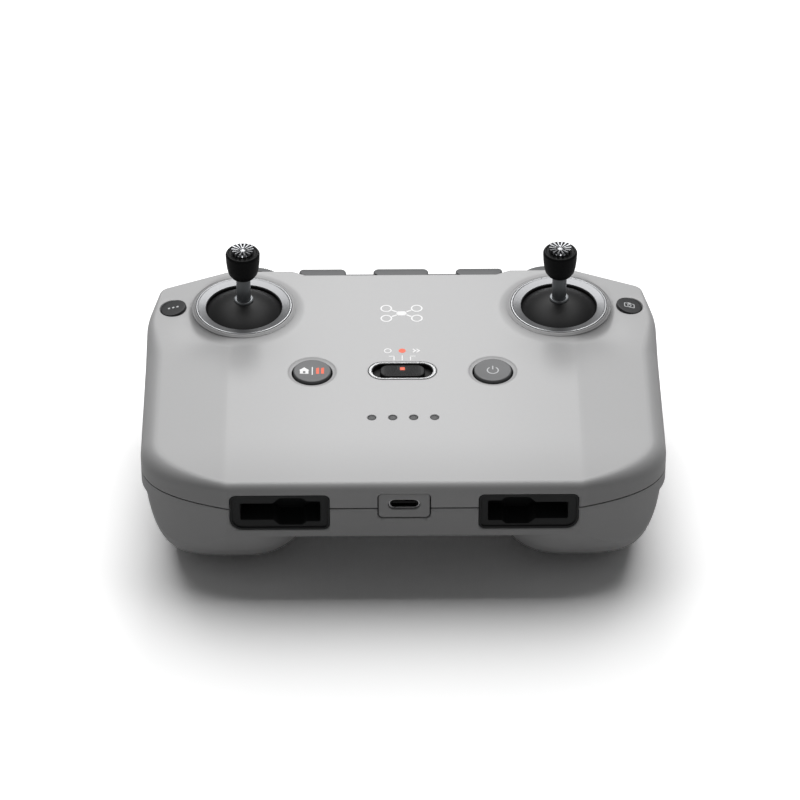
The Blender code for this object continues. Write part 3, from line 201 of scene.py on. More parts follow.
def inside(points: Array, loop: Array) -> Array:
    """Say which points lie inside a loop: a ray to the right crosses it an odd number of times."""
    x, y = points[:, :1], points[:, 1:2]
    start, end = loop, np.roll(loop, -1, 0)
    rise = end[:, 1] - start[:, 1]
    rise = np.where(rise == 0, 1e-12, rise)
    spans = (start[:, 1] > y) != (end[:, 1] > y)
    hit = x < (end[:, 0] - start[:, 0]) * (y - start[:, 1]) / rise + start[:, 0]
    return (spans & hit).sum(1) % 2 == 1


def fill(outer: Array, holes: Sequence[Array] = (), extra: Array | None = None,
         lines: Sequence[Array] = (), margin: float = 0.6) -> tuple[Array, Array]:
    """Fill a region in plan with triangles.

    The triangulation is Delaunay's, held to the loops; a triangle stays where its centre is inside
    the outer loop and outside each hole.

    Args:
        outer: the region's edge.
        holes: loops that bound what is left out.
        extra: points wanted inside, left out where nearer than the margin to a loop.
        lines: open lines that the triangles have to follow.
        margin: the least distance from a loop to an extra point.

    Returns:
        The points in plan, and the triangles.
    """
    loops = [outer, *holes]
    chains = [(loop, True) for loop in loops] + [(line, False) for line in lines]
    fixed = np.concatenate([points for points, _ in chains])
    edges, first = [], 0
    for points, closed in chains:
        index = first + np.arange(len(points))
        pairs = np.stack([index, np.roll(index, -1)], 1)
        edges.append(pairs if closed else pairs[:-1])
        first += len(points)
    if extra is not None and len(extra):
        extra = extra[inside(extra, outer)]
        for hole in holes:
            extra = extra[~inside(extra, hole)]
        gap = np.full(len(extra), np.inf)
        for part in np.array_split(fixed, max(1, len(fixed) // 200)):
            apart = np.linalg.norm(extra[:, None] - part[None], axis=2).min(1)
            gap = np.minimum(gap, apart)
        fixed = np.concatenate([fixed, extra[gap > margin]])
    made, _, faces, *_ = delaunay_2d_cdt([Vector(point) for point in fixed.tolist()],
                                         np.concatenate(edges).tolist(), [], 0, 1e-5)
    points, triangles = np.array([tuple(point) for point in made]), np.array(faces)
    centres = points[triangles].mean(1)
    first, second = (points[triangles[:, i]] - points[triangles[:, 0]] for i in (1, 2))
    area = np.abs(first[:, 0] * second[:, 1] - first[:, 1] * second[:, 0]) / 2
    kept = inside(centres, outer) & (area > SLIVER)
    for hole in holes:
        kept &= ~inside(centres, hole)
    used, triangles = np.unique(triangles[kept], return_inverse=True)
    return points[used], triangles.reshape(-1, 3)


def mesh_points(low: Sequence[float], high: Sequence[float], step: float) -> Array:
    """Points on a square grid between two corners, every other row moved half a step."""
    x = np.arange(low[0], high[0], step)
    y = np.arange(low[1], high[1], step * 0.87)
    grid_x, grid_y = np.meshgrid(x, y)
    grid_x = grid_x + (np.arange(len(y)) % 2)[:, None] * step / 2
    return np.stack([grid_x.ravel(), grid_y.ravel()], 1)


def smooth_step(value: Array, low: float, high: float) -> Array:
    """Rise smoothly from 0 at low to 1 at high: 3 t squared less 2 t cubed."""
    share = np.clip((value - low) / (high - low), 0.0, 1.0)
    return share * share * (3 - 2 * share)


# ----------------------------------------------------------------------------------------------
# Surfaces and pieces


class Facing(Enum):
    """The way in which a flat outline (a, b) and its depth c are put into the frame."""

    UP = "up"          # a is X, b is Y, c is Z
    FRONT = "front"    # a is X, b is Z, c is Y

    def place(self, outline: Array, depth: Array | float) -> Array:
        """Return the outline's points in the frame, at that depth."""
        level = np.broadcast_to(np.asarray(depth, float), len(outline))
        columns = [outline[:, 0], outline[:, 1], level]
        return np.stack(columns if self is Facing.UP else [columns[0], level, columns[1]], 1)


class Surface:
    """One piece's surface, gathered from grids and filled sheets."""

    def __init__(self) -> None:
        """Start with nothing."""
        self.points: list[Array] = []
        self.faces: list[list[int]] = []
        self.count = 0

    def add(self, points: Array, faces: Array) -> "Surface":
        """Add points and the faces on them.

        Args:
            points: one row each, or a grid of rows.
            faces: point numbers, one face a row.

        Returns:
            This surface.
        """
        rows = points.reshape(-1, 3)
        self.points.append(rows)
        self.faces.extend((np.asarray(faces) + self.count).tolist())
        self.count += len(rows)
        return self

    def grid(self, points: Array, wrap: bool = True, keep: Array | None = None) -> "Surface":
        """Add a grid of points: each cell between two rows and two columns is one face.

        Args:
            points: rows by columns by three.
            wrap: whether the last column joins the first.
            keep: which columns of cells are wanted.

        Returns:
            This surface.
        """
        rows, columns = points.shape[:2]
        index = np.arange(rows * columns).reshape(rows, columns)
        if wrap:
            index = np.concatenate([index, index[:, :1]], 1)
        cells = np.stack([index[:-1, :-1], index[:-1, 1:], index[1:, 1:], index[1:, :-1]], -1)
        if keep is not None:
            cells = cells[:, keep]
        return self.add(points, cells.reshape(-1, 4))

    def turned(self, profile: Sequence[Sequence[float]] | Array, centre: Sequence[float],
               steps: int = 96) -> "Surface":
        """Add a surface of revolution about an upright axis.

        A point is the centre plus the profile's radius times the cosine and sine of the angle,
        at the profile's height.

        Args:
            profile: radius and height, one row each; closed where it ends at radius 0.
            centre: the axis in plan.
            steps: points round it.

        Returns:
            This surface.
        """
        shape = np.asarray(profile, float)
        angle = np.linspace(0.0, 2 * math.pi, steps, endpoint=False)[None]
        points = np.stack([centre[0] + shape[:, :1] * np.cos(angle),
                           centre[1] + shape[:, :1] * np.sin(angle),
                           np.broadcast_to(shape[:, 1:2], (len(shape), steps))], -1)
        return self.grid(points)

    def ring(self, profile: Array, centre: Sequence[float], steps: int = 96) -> "Surface":
        """Add a surface of revolution whose profile is closed on itself."""
        return self.turned(np.concatenate([profile, profile[:1]]), centre, steps)

    def plate(self, outer: Array, low: float, high: float, holes: Sequence[Array] = (),
              place: Place = Facing.UP.place, edge: float = 0.0, low_edge: float = 0.0,
              extra: Array | None = None) -> "Surface":
        """Add a flat piece with holes, its edges rounded where it faces out.

        The side runs straight up, and then along a quarter circle of the edge's radius to the face.

        Args:
            outer: the outline.
            low: depth of its back.
            high: depth of its face.
            holes: outlines of holes right through it.
            place: puts outline and depth into the frame.
            edge: radius of the edge round the face.
            low_edge: radius of the edge round the back.
            extra: points wanted on both faces.

        Returns:
            This surface.
        """
        way = 1.0 if high > low else -1.0
        turns = np.linspace(0.0, QUARTER, 5)
        stations = [(low_edge * (1 - math.sin(t)), low + way * low_edge * (1 - math.cos(t)))
                    for t in turns] if low_edge else [(0.0, low)]
        stations += [(edge * (1 - math.cos(t)), high - way * edge * (1 - math.sin(t)))
                     for t in turns] if edge else [(0.0, high)]
        for loop, side in [(outer, 1.0)] + [(hole, -1.0) for hole in holes]:
            self.grid(np.stack([place(offset(loop, side * inset), depth)
                                for inset, depth in stations]))
        for inset, depth in (stations[0], stations[-1]):
            points, triangles = fill(offset(outer, inset), [offset(hole, -inset) for hole in holes],
                                     extra)
            self.add(place(points, depth), triangles)
        return self

    def piece(self, name: str, finish: "Finish", body: str, slot: str,
              replaces: Sequence[str] = (), wall: float = 0.0, sharp: float = 28.0,
              move: Callable[[Array], Array] | None = None) -> bpy.types.Object:
        """Make the object, hang it on its body and hide the CAD nodes that it stands for.

        Args:
            name: the piece's name.
            finish: its finish.
            body: the CAD body that carries it.
            slot: the record's material slot; not used.
            replaces: CAD nodes that it stands for.
            wall: thickness given to an open surface, inward.
            sharp: edges that turn more than this, in degrees, are drawn sharp.
            move: puts the points in their last place.

        Returns:
            The object.
        """
        points = np.concatenate(self.points)
        if move is not None:
            points = move(points)
        mesh = bpy.data.meshes.new(name)
        mesh.from_pydata((points * MM).tolist(), [], self.faces)
        shape = bmesh.new()
        shape.from_mesh(mesh)
        bmesh.ops.remove_doubles(shape, verts=shape.verts, dist=WELD * MM)
        bmesh.ops.recalc_face_normals(shape, faces=shape.faces)
        shape.to_mesh(mesh)
        shape.free()
        mesh.shade_smooth()
        mesh.set_sharp_from_angle(angle=math.radians(sharp))
        mesh.materials.append(finish.material)
        obj = bpy.data.objects.new(name, mesh)
        bpy.context.scene.collection.objects.link(obj)
        if wall:
            solid = obj.modifiers.new("wall", "SOLIDIFY")
            solid.thickness = wall * MM
            solid.offset = -1.0
        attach(obj, body)
        if replaces:
            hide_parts(*replaces)
        LOG.info("%s: %d faces on %s", name, len(mesh.polygons), body)
        return obj


def tilted(centre: Array, angle: float) -> Callable[[Array], Array]:
    """Return a move that turns points about the Y axis through a centre."""
    cosine, sine = math.cos(angle), math.sin(angle)

    def move(points: Array) -> Array:
        """Turn the points."""
        away = points - centre
        return centre + np.stack([away[:, 0] * cosine + away[:, 2] * sine, away[:, 1],
                                  away[:, 2] * cosine - away[:, 0] * sine], 1)

    return move


# ----------------------------------------------------------------------------------------------
# Finishes


def socket_group(name: str, inputs: Sequence[tuple[str, str, object]],
                 outputs: Sequence[tuple[str, str]]) -> bpy.types.NodeTree:
    """Make an empty shader group with named sockets.

    Args:
        name: the group's name.
        inputs: name, socket type and value of each input.
        outputs: name and socket type of each output.

    Returns:
        The group.
    """
    tree = bpy.data.node_groups.new(name, "ShaderNodeTree")
    for label, kind, value in inputs:
        made = tree.interface.new_socket(name=label, in_out="INPUT", socket_type=kind)
        if value is not None:
            made.default_value = value
    for label, kind in outputs:
        tree.interface.new_socket(name=label, in_out="OUTPUT", socket_type=kind)
    return tree


class Nodes:
    """Short calls to place and join the nodes of a tree."""

    def __init__(self, tree: bpy.types.NodeTree) -> None:
        """Work on this tree."""
        self.tree = tree

    def add(self, kind: str, values: dict[str, object] | None = None,
            **settings: object) -> bpy.types.Node:
        """Place a node.

        Args:
            kind: the node's type without its ShaderNode prefix.
            values: values, or outputs to join, by input name or number.
            settings: the node's own settings.

        Returns:
            The node.
        """
        node = self.tree.nodes.new(kind if kind.startswith("Node") else "ShaderNode" + kind)
        for label, setting in settings.items():
            setattr(node, label, setting)
        for label, value in (values or {}).items():
            if isinstance(value, bpy.types.NodeSocket):
                self.tree.links.new(value, node.inputs[label])
            else:
                node.inputs[label].default_value = value
        return node

    def math(self, operation: str, first: object, second: object = 0.0) -> bpy.types.NodeSocket:
        """Place a Math node and return its value."""
        return self.add("Math", {0: first, 1: second}, operation=operation).outputs[0]


def grain_group() -> bpy.types.NodeTree:
    """A fine moulded grain: rounded cells with a little noise over them.

    Returns:
        A group from a vector and a scale to a height from 0 to 1.
    """
    tree = socket_group("moulded_grain", [("Vector", "NodeSocketVector", None),
                                          ("Scale", "NodeSocketFloat", 2200.0)],
                        [("Height", "NodeSocketFloat")])
    nodes = Nodes(tree)
    given = nodes.add("NodeGroupInput").outputs
    cells = nodes.add("TexVoronoi", {"Vector": given["Vector"], "Scale": given["Scale"]},
                      feature="SMOOTH_F1").outputs["Distance"]
    fine = nodes.add("TexNoise", {"Vector": given["Vector"], "Detail": 3.0, "Roughness": 0.6,
                                  "Scale": nodes.math("MULTIPLY", given["Scale"], 0.45)})
    height = nodes.math("ADD", nodes.math("MULTIPLY", cells, 0.45),
                        nodes.math("MULTIPLY", fine.outputs["Fac"], 0.55))
    nodes.add("NodeGroupOutput", {"Height": height})
    return tree


def handling_group() -> bpy.types.NodeTree:
    """Slow drift of colour and gloss, as handling and moulding leave it.

    Returns:
        A group from a vector, a colour, a drift and a roughness to a colour and a roughness.
    """
    tree = socket_group("handling", [("Vector", "NodeSocketVector", None),
                                     ("Colour", "NodeSocketColor", (0.5, 0.5, 0.5, 1.0)),
                                     ("Drift", "NodeSocketFloat", 0.03),
                                     ("Roughness", "NodeSocketFloat", 0.5)],
                        [("Colour", "NodeSocketColor"), ("Roughness", "NodeSocketFloat")])
    nodes = Nodes(tree)
    given = nodes.add("NodeGroupInput").outputs
    broad = nodes.add("TexNoise", {"Vector": given["Vector"], "Scale": 26.0, "Detail": 3.0})
    speck = nodes.add("TexNoise", {"Vector": given["Vector"], "Scale": 900.0, "Detail": 2.0})
    mixed = nodes.math("ADD", nodes.math("MULTIPLY", broad.outputs["Fac"], 0.55),
                       nodes.math("MULTIPLY", speck.outputs["Fac"], 0.45))
    swing = nodes.math("MULTIPLY", nodes.math("SUBTRACT", mixed, 0.5), given["Drift"])
    value = nodes.math("ADD", nodes.math("MULTIPLY", swing, 2.0), 1.0)
    colour = nodes.add("HueSaturation", {"Color": given["Colour"], "Value": value})
    rough = nodes.math("ADD", given["Roughness"], nodes.math("MULTIPLY", swing, 1.5))
    nodes.add("NodeGroupOutput", {"Colour": colour.outputs[0], "Roughness": rough})
    return tree


@dataclass(frozen=True)
class Finish:
    """A surface finish: one material with its grain, drift and gloss."""

    name: str
    colour: tuple[float, float, float]
    roughness: float
    metallic: float = 0.0
    grain: float = 2200.0        # cells to a metre
    depth: float = 0.02          # height of the grain in mm
    drift: float = 0.04
    coat: float = 0.0
    specular: float = 0.5
    # painted shade: the outer panels keep this share of the colour, darker where the light falls
    # off towards the sides
    painted_side_shade: float = 1.0       # share of the colour's strength left on the outer panels

    @cached_property
    def material(self) -> bpy.types.Material:
        """Build the material once: drift on colour and roughness, grain on the normal, and painted
        shade on the outer panels where asked.
        """
        made = bpy.data.materials.new(self.name)
        made.use_nodes = True
        tree = made.node_tree
        shader = tree.nodes["Principled BSDF"]
        nodes = Nodes(tree)
        where = nodes.add("TexCoord").outputs["Object"]
        drift = nodes.add("Group", node_tree=GROUPS["handling"])
        drift.inputs["Colour"].default_value = (*self.colour, 1.0)
        drift.inputs["Drift"].default_value = self.drift
        drift.inputs["Roughness"].default_value = self.roughness
        tree.links.new(where, drift.inputs["Vector"])
        tree.links.new(drift.outputs["Colour"], shader.inputs["Base Color"])
        tree.links.new(drift.outputs["Roughness"], shader.inputs["Roughness"])
        grain = nodes.add("Group", node_tree=GROUPS["grain"])
        grain.inputs["Scale"].default_value = self.grain
        tree.links.new(where, grain.inputs["Vector"])
        bump = nodes.add("Bump", {"Height": grain.outputs["Height"], "Strength": 1.0,
                                  "Distance": self.depth * MM})
        tree.links.new(bump.outputs[0], shader.inputs["Normal"])
        shader.inputs["Metallic"].default_value = self.metallic
        shader.inputs["Coat Weight"].default_value = self.coat
        shader.inputs["Coat Roughness"].default_value = 0.12
        shader.inputs["Specular IOR Level"].default_value = self.specular
        # painted shade: darken the outer panels' colour to stand in for the light falling off
        # towards the sides
        if self.painted_side_shade < 1.0:
            tone = nodes.add("Group", {"Vector": where}, node_tree=GROUPS["panels"])
            tone.inputs["Colour"].default_value = (*self.colour, 1.0)
            tone.inputs["Outer"].default_value = self.painted_side_shade
            tree.links.new(tone.outputs[0], drift.inputs["Colour"])
        return made


def painted_panel_shade_group() -> bpy.types.NodeTree:
    """Painted shade: a colour that darkens a little from the middle to the outer panels, standing
    in for the light that falls off towards the sides.

    The share falls smoothly from 1 at 15 mm from the middle to halfway at the panel's crease,
    and the rest of the way within 3 mm past the crease.

    Returns:
        A group from a vector, a colour and the outer share to a colour.
    """
    tree = socket_group("panels", [("Vector", "NodeSocketVector", None),
                                   ("Colour", "NodeSocketColor", (0.5, 0.5, 0.5, 1.0)),
                                   ("Outer", "NodeSocketFloat", 0.9)],
                        [("Colour", "NodeSocketColor")])
    nodes = Nodes(tree)
    given = nodes.add("NodeGroupInput").outputs
    split = nodes.add("SeparateXYZ", {0: given["Vector"]}).outputs["X"]
    away = nodes.math("ABSOLUTE", split)
    shares = []
    for near, far in ((0.015, 0.0495), (0.0493, 0.0525)):
        shares.append(nodes.add("MapRange", {"Value": away, "From Min": near, "From Max": far},
                                interpolation_type="SMOOTHSTEP").outputs[0])
    mixed = nodes.math("MULTIPLY", nodes.math("ADD", shares[0], shares[1]), 0.5)
    lost = nodes.math("MULTIPLY", mixed, nodes.math("SUBTRACT", 1.0, given["Outer"]))
    colour = nodes.add("HueSaturation", {"Color": given["Colour"],
                                         "Value": nodes.math("SUBTRACT", 1.0, lost)})
    nodes.add("NodeGroupOutput", {"Colour": colour.outputs[0]})
    return tree


GROUPS = {"grain": grain_group(), "handling": handling_group(), "panels": painted_panel_shade_group()}

# the light shell carries painted shade on its outer panels
LIGHT_SHELL = Finish("light_grey_shell", (0.44, 0.44, 0.443), 0.38, depth=0.012, drift=0.035,
                     painted_side_shade=0.86)
DARK_SHELL = Finish("dark_grey_shell", (0.42, 0.42, 0.423), 0.58, depth=0.014, drift=0.05)
SATIN_BLACK = Finish("satin_black", (0.012, 0.012, 0.0125), 0.46, depth=0.006, drift=0.10,
                     specular=0.22)
HEAD_BLACK = Finish("moulded_black", (0.0062, 0.0064, 0.0068), 0.5, depth=0.012, drift=0.10,
                    specular=0.12)
SLIDER_BLACK = Finish("slider_black", (0.011, 0.0115, 0.012), 0.5, depth=0.01, drift=0.10,
                      specular=0.22)
SHAFT_GREY = Finish("dark_anodised", (0.20, 0.21, 0.22), 0.36, 0.5, depth=0.004, drift=0.08)
RING_METAL = Finish("glossy_ring", (0.225, 0.228, 0.235), 0.34, 0.75, depth=0.001, drift=0.03,
                    coat=0.25)
CROWN_METAL = Finish("machined_metal", (0.30, 0.305, 0.315), 0.34, 1.0, depth=0.002,
                     drift=0.05)
BUTTON_GREY = Finish("button_grey", (0.108, 0.110, 0.113), 0.46, depth=0.008, drift=0.05)
CORNER_GREY = Finish("corner_button_grey", (0.026, 0.0265, 0.028), 0.45, depth=0.008, drift=0.06,
                     specular=0.3)
GLOSS_GREY = Finish("glossy_grey", (0.24, 0.244, 0.25), 0.2, depth=0.001, drift=0.03, coat=0.4)
POCKET = Finish("pocket_grey", (0.018, 0.0195, 0.020), 0.6, depth=0.008, drift=0.10)
# painted shade: near-black for the gap under each stick ring, the inside of the slider's well and
# the back of the port, where only shade is seen
SHADE = Finish("painted_shade_black", (0.004, 0.004, 0.004), 0.75, depth=0.004, drift=0.15)
CONTROL = Finish("control_grey", (0.085, 0.087, 0.09), 0.5, depth=0.012, drift=0.06)
LENS = Finish("smoked_lens", (0.040, 0.0415, 0.043), 0.35, depth=0.001, drift=0.05, specular=0.25)
PRINT_WHITE = Finish("white_print", (0.90, 0.90, 0.90), 0.5, depth=0.003, drift=0.03)
PRINT_PALE = Finish("pale_print", (0.55, 0.56, 0.57), 0.5, depth=0.003, drift=0.03)
PRINT_ORANGE = Finish("orange_print", (0.95, 0.115, 0.035), 0.45, depth=0.003, drift=0.04)
STEEL = Finish("bright_steel", (0.60, 0.60, 0.61), 0.28, 1.0, depth=0.002, drift=0.06)
FRAME_BLACK = Finish("gimbal_frame", (0.05, 0.05, 0.055), 0.55, depth=0.012, drift=0.08)
WHITE = Finish("gimbal_white", (0.72, 0.72, 0.70), 0.48, depth=0.01, drift=0.05)
BOARD = Finish("solder_mask", (0.01, 0.09, 0.04), 0.35, depth=0.01, grain=900.0, drift=0.12)
CELL = Finish("cell_sleeve", (0.02, 0.10, 0.28), 0.32, depth=0.004, drift=0.08)
RUBBER = Finish("soft_rubber", (0.02, 0.02, 0.021), 0.8, depth=0.03, grain=1500.0, drift=0.12)

NODE_FINISHES = {
    "usb_c_shell": STEEL, "usb_c_tongue": SATIN_BLACK, "home_pause_switch": STEEL,
    "power_switch": STEEL, "custom_switch": STEEL, "camera_switch": STEEL,
    "mode_switch_body": STEEL, "gimbal_dial_axle": STEEL, "shutter_switch": STEEL,
    "main_circuit_board": BOARD, "clamp_plate": CONTROL, "phone_slot_pad": RUBBER,
    "gimbal_frame_": FRAME_BLACK, "gimbal_yoke_": WHITE, "gimbal_hub_": WHITE,
    "battery_cell_": CELL, "antenna_": BOARD, "clamp_pad_": RUBBER, "case_screw_": STEEL,
}


# ----------------------------------------------------------------------------------------------
# Housing


@dataclass(frozen=True)
class HousingForm:
    """The housing's plan outline, top face and underside."""

    half_width: float
    front: float
    back: float
    top: float
    seam: float
    front_flat: float = 50.2
    panel_half: float = 50.6
    side_slope: float = 0.055
    roll_length: float = 25.0
    roll_drop: float = 2.0
    hollow: tuple[float, float, float, float] = (57.0, 16.5, 8.5, 0.75)  # place, reach, depth
    grip_top: float = 26.5
    grip_sink: float = 0.3
    side_rise: float = 3.4
    floor: float = 22.3
    floor_blend: float = 2.8

    @classmethod
    def from_frame(cls) -> "HousingForm":
        """Take the outer sizes from the two shells' boxes."""
        upper_low, upper_high = span("upper_shell")
        lower_high = span("lower_shell")[1]
        return cls(upper_high[0], upper_low[1], upper_high[1],
                   float(span("mode_switch_well")[1][2]), (upper_low[2] + lower_high[2]) / 2)

    @cached_property
    def loop(self) -> Array:
        """The plan outline, counter-clockwise from the middle of the right side.

        The front corner is a cubic curve. The side leans in to the shoulder, a straight chamfer
        joins it to the far edge, and the far edge has a shallow notch behind the phone slot.
        """
        share = np.linspace(0.0, 1.0, 36)[:, None]
        pull = np.array([[self.front_flat, self.front], [self.half_width - 12.7, self.front + 3.6],
                         [self.half_width, self.front + 8.6], [self.half_width, self.front + 21.1]])
        corner = (pull[0] * (1 - share) ** 3 + pull[1] * 3 * (1 - share) ** 2 * share
                  + pull[2] * 3 * (1 - share) * share ** 2 + pull[3] * share ** 3)
        far = rounded([(self.half_width, self.back - 38.9), (self.half_width, self.back - 22.4),
                       (71.3, self.back - 7.4), (51.3, self.back), (32.5, self.back),
                       (28.5, self.back - 2.1), (0.0, self.back - 2.1)],
                      (0.0, 34.0, 3.6, 9.0, 1.6, 1.6, 0.0), 14, closed=False)[1:]
        right = np.concatenate([[(0.0, self.front)], corner, far])
        whole = np.concatenate([right, (right * (-1, 1))[-2:0:-1]])
        whole = spaced(whole, 1.0)
        start = np.argmin(np.hypot(whole[:, 0] - self.half_width, whole[:, 1] + 10.0))
        return np.roll(whole, -start, 0)

    @cached_property
    def run(self) -> Array:
        """Distance along the outline of each point, and of the first again at the end."""
        sides = np.linalg.norm(np.roll(self.loop, -1, 0) - self.loop, axis=1)
        return np.concatenate([[0.0], np.cumsum(sides)])

    @cached_property
    def edge_round(self) -> Array:
        """Radius of the round between the side and the top, for each point of the outline."""
        x, y = np.abs(self.loop[:, 0]), self.loop[:, 1]
        front = 2.2 + 3.0 * smooth_step(x, self.front_flat - 1.0, self.half_width - 1.2)
        side = np.interp(y, [10.0, 24.0, 33.0, 38.0, 41.0], [5.2, 2.6, 1.4, 0.8, 0.55])
        return np.where(y < self.front + 21.1, front, side)

    def along(self, x: float, far: bool = False) -> float:
        """Distance along the outline of a place on the front, or on the far edge."""
        y = self.loop[:, 1]
        near = y > self.back - 3.0 if far else y < self.front + 0.01
        order = np.argsort(self.loop[near][:, 0])
        return float(np.interp(x, self.loop[near][order, 0], self.run[:-1][near][order]))

    def top_height(self, plan: Array) -> Array:
        """Height of the top face.

        It is flat in the middle, falls by a constant slope past the centre panel, sinks into a
        soft bell-shaped hollow outside each stick, and rolls down to the front with the power 2.2
        of the distance.
        """
        x, y = np.abs(plan[..., 0]), plan[..., 1]
        side = np.maximum(0.0, x - self.panel_half) * self.side_slope
        roll = np.maximum(0.0, (self.front + self.roll_length - y) / self.roll_length)
        away = ((x - self.hollow[0]) ** 2 + (y - self.hollow[1]) ** 2) / self.hollow[2] ** 2
        hollow = self.hollow[3] * np.exp(-away)
        return self.top - side - hollow - self.roll_drop * roll ** 2.2

    def under_height(self, plan: Array) -> Array:
        """Height of the underside.

        Each grip is a rounded form: one less the distance across, to the power 4.6 outward and
        2.7 inward, and along to the power 2.2, all to the power 0.625. The lower of it and the
        middle floor holds, with a smooth join between them. Both rise towards the outer sides.
        """
        x, y = np.abs(plan[..., 0]), plan[..., 1]
        outer, inner = self.half_width - 24.0, self.half_width - 28.0
        across = np.maximum(np.maximum(0.0, (x - outer) / 24.0) ** 4.6,
                            np.maximum(0.0, (inner - x) / 25.0) ** 2.7)
        along = np.maximum(np.maximum(0.0, (self.front + 37.1 - y) / 37.1),
                           np.maximum(0.0, (y - self.back + 37.9) / 37.9))
        share = np.maximum(0.0, 1 - across - along ** 2.2)
        rise = self.side_rise * smooth_step(x, 51.0, self.half_width - 8.0)
        grip_top = self.grip_top + rise
        grip = grip_top - (grip_top + self.grip_sink) * share ** 0.625
        near_front = np.maximum(0.0, self.front + 3.1 - y) / 3.1
        floor = self.floor + 1.8 * near_front ** 2 + 2.6 * rise
        mix = np.clip(0.5 + 0.5 * (grip - floor) / self.floor_blend, 0.0, 1.0)
        joined = grip * (1 - mix) + floor * mix - self.floor_blend * mix * (1 - mix)
        return np.maximum(joined, 0.0)

    def on_top(self, plan: Array, lift: Array | float) -> Array:
        """Place plan points on the top face, lifted by that much."""
        return np.concatenate([plan, (self.top_height(plan) + lift)[:, None]], 1)

    def ring_at(self, inset: Array | float, height: Array | float) -> Array:
        """The outline moved inward, at a height."""
        return Facing.UP.place(offset(self.loop, inset), height)


def side_wall(surface: Surface, form: HousingForm, low: Array, high: Array,
              cuts: Sequence[Array]) -> None:
    """Add the upright wall on the outline, with openings.

    The wall is unrolled: one direction is the distance along the outline and the other the
    height. It is filled there, and rolled back on.

    Args:
        surface: what it is added to.
        form: the housing's form.
        low: height of its lower edge at each outline point.
        high: height of its upper edge.
        cuts: the openings' outlines, unrolled.
    """
    run = form.run
    low, high = np.append(low, low[0]), np.append(high, high[0])
    edge = np.concatenate([np.stack([run, low], 1), np.stack([run, high], 1)[::-1]])
    shares = np.arange(1, 8)[:, None] / 8
    rows = np.stack([np.broadcast_to(run[1:-1], (7, len(run) - 2)),
                     low[1:-1] + (high - low)[1:-1] * shares], -1).reshape(-1, 2)
    flat, triangles = fill(edge, cuts, rows, margin=0.3)
    ends = np.concatenate([form.loop, form.loop[:1]])
    rolled = np.stack([np.interp(flat[:, 0], run, ends[:, 0]),
                       np.interp(flat[:, 0], run, ends[:, 1]), flat[:, 1]], 1)
    surface.add(rolled, triangles)


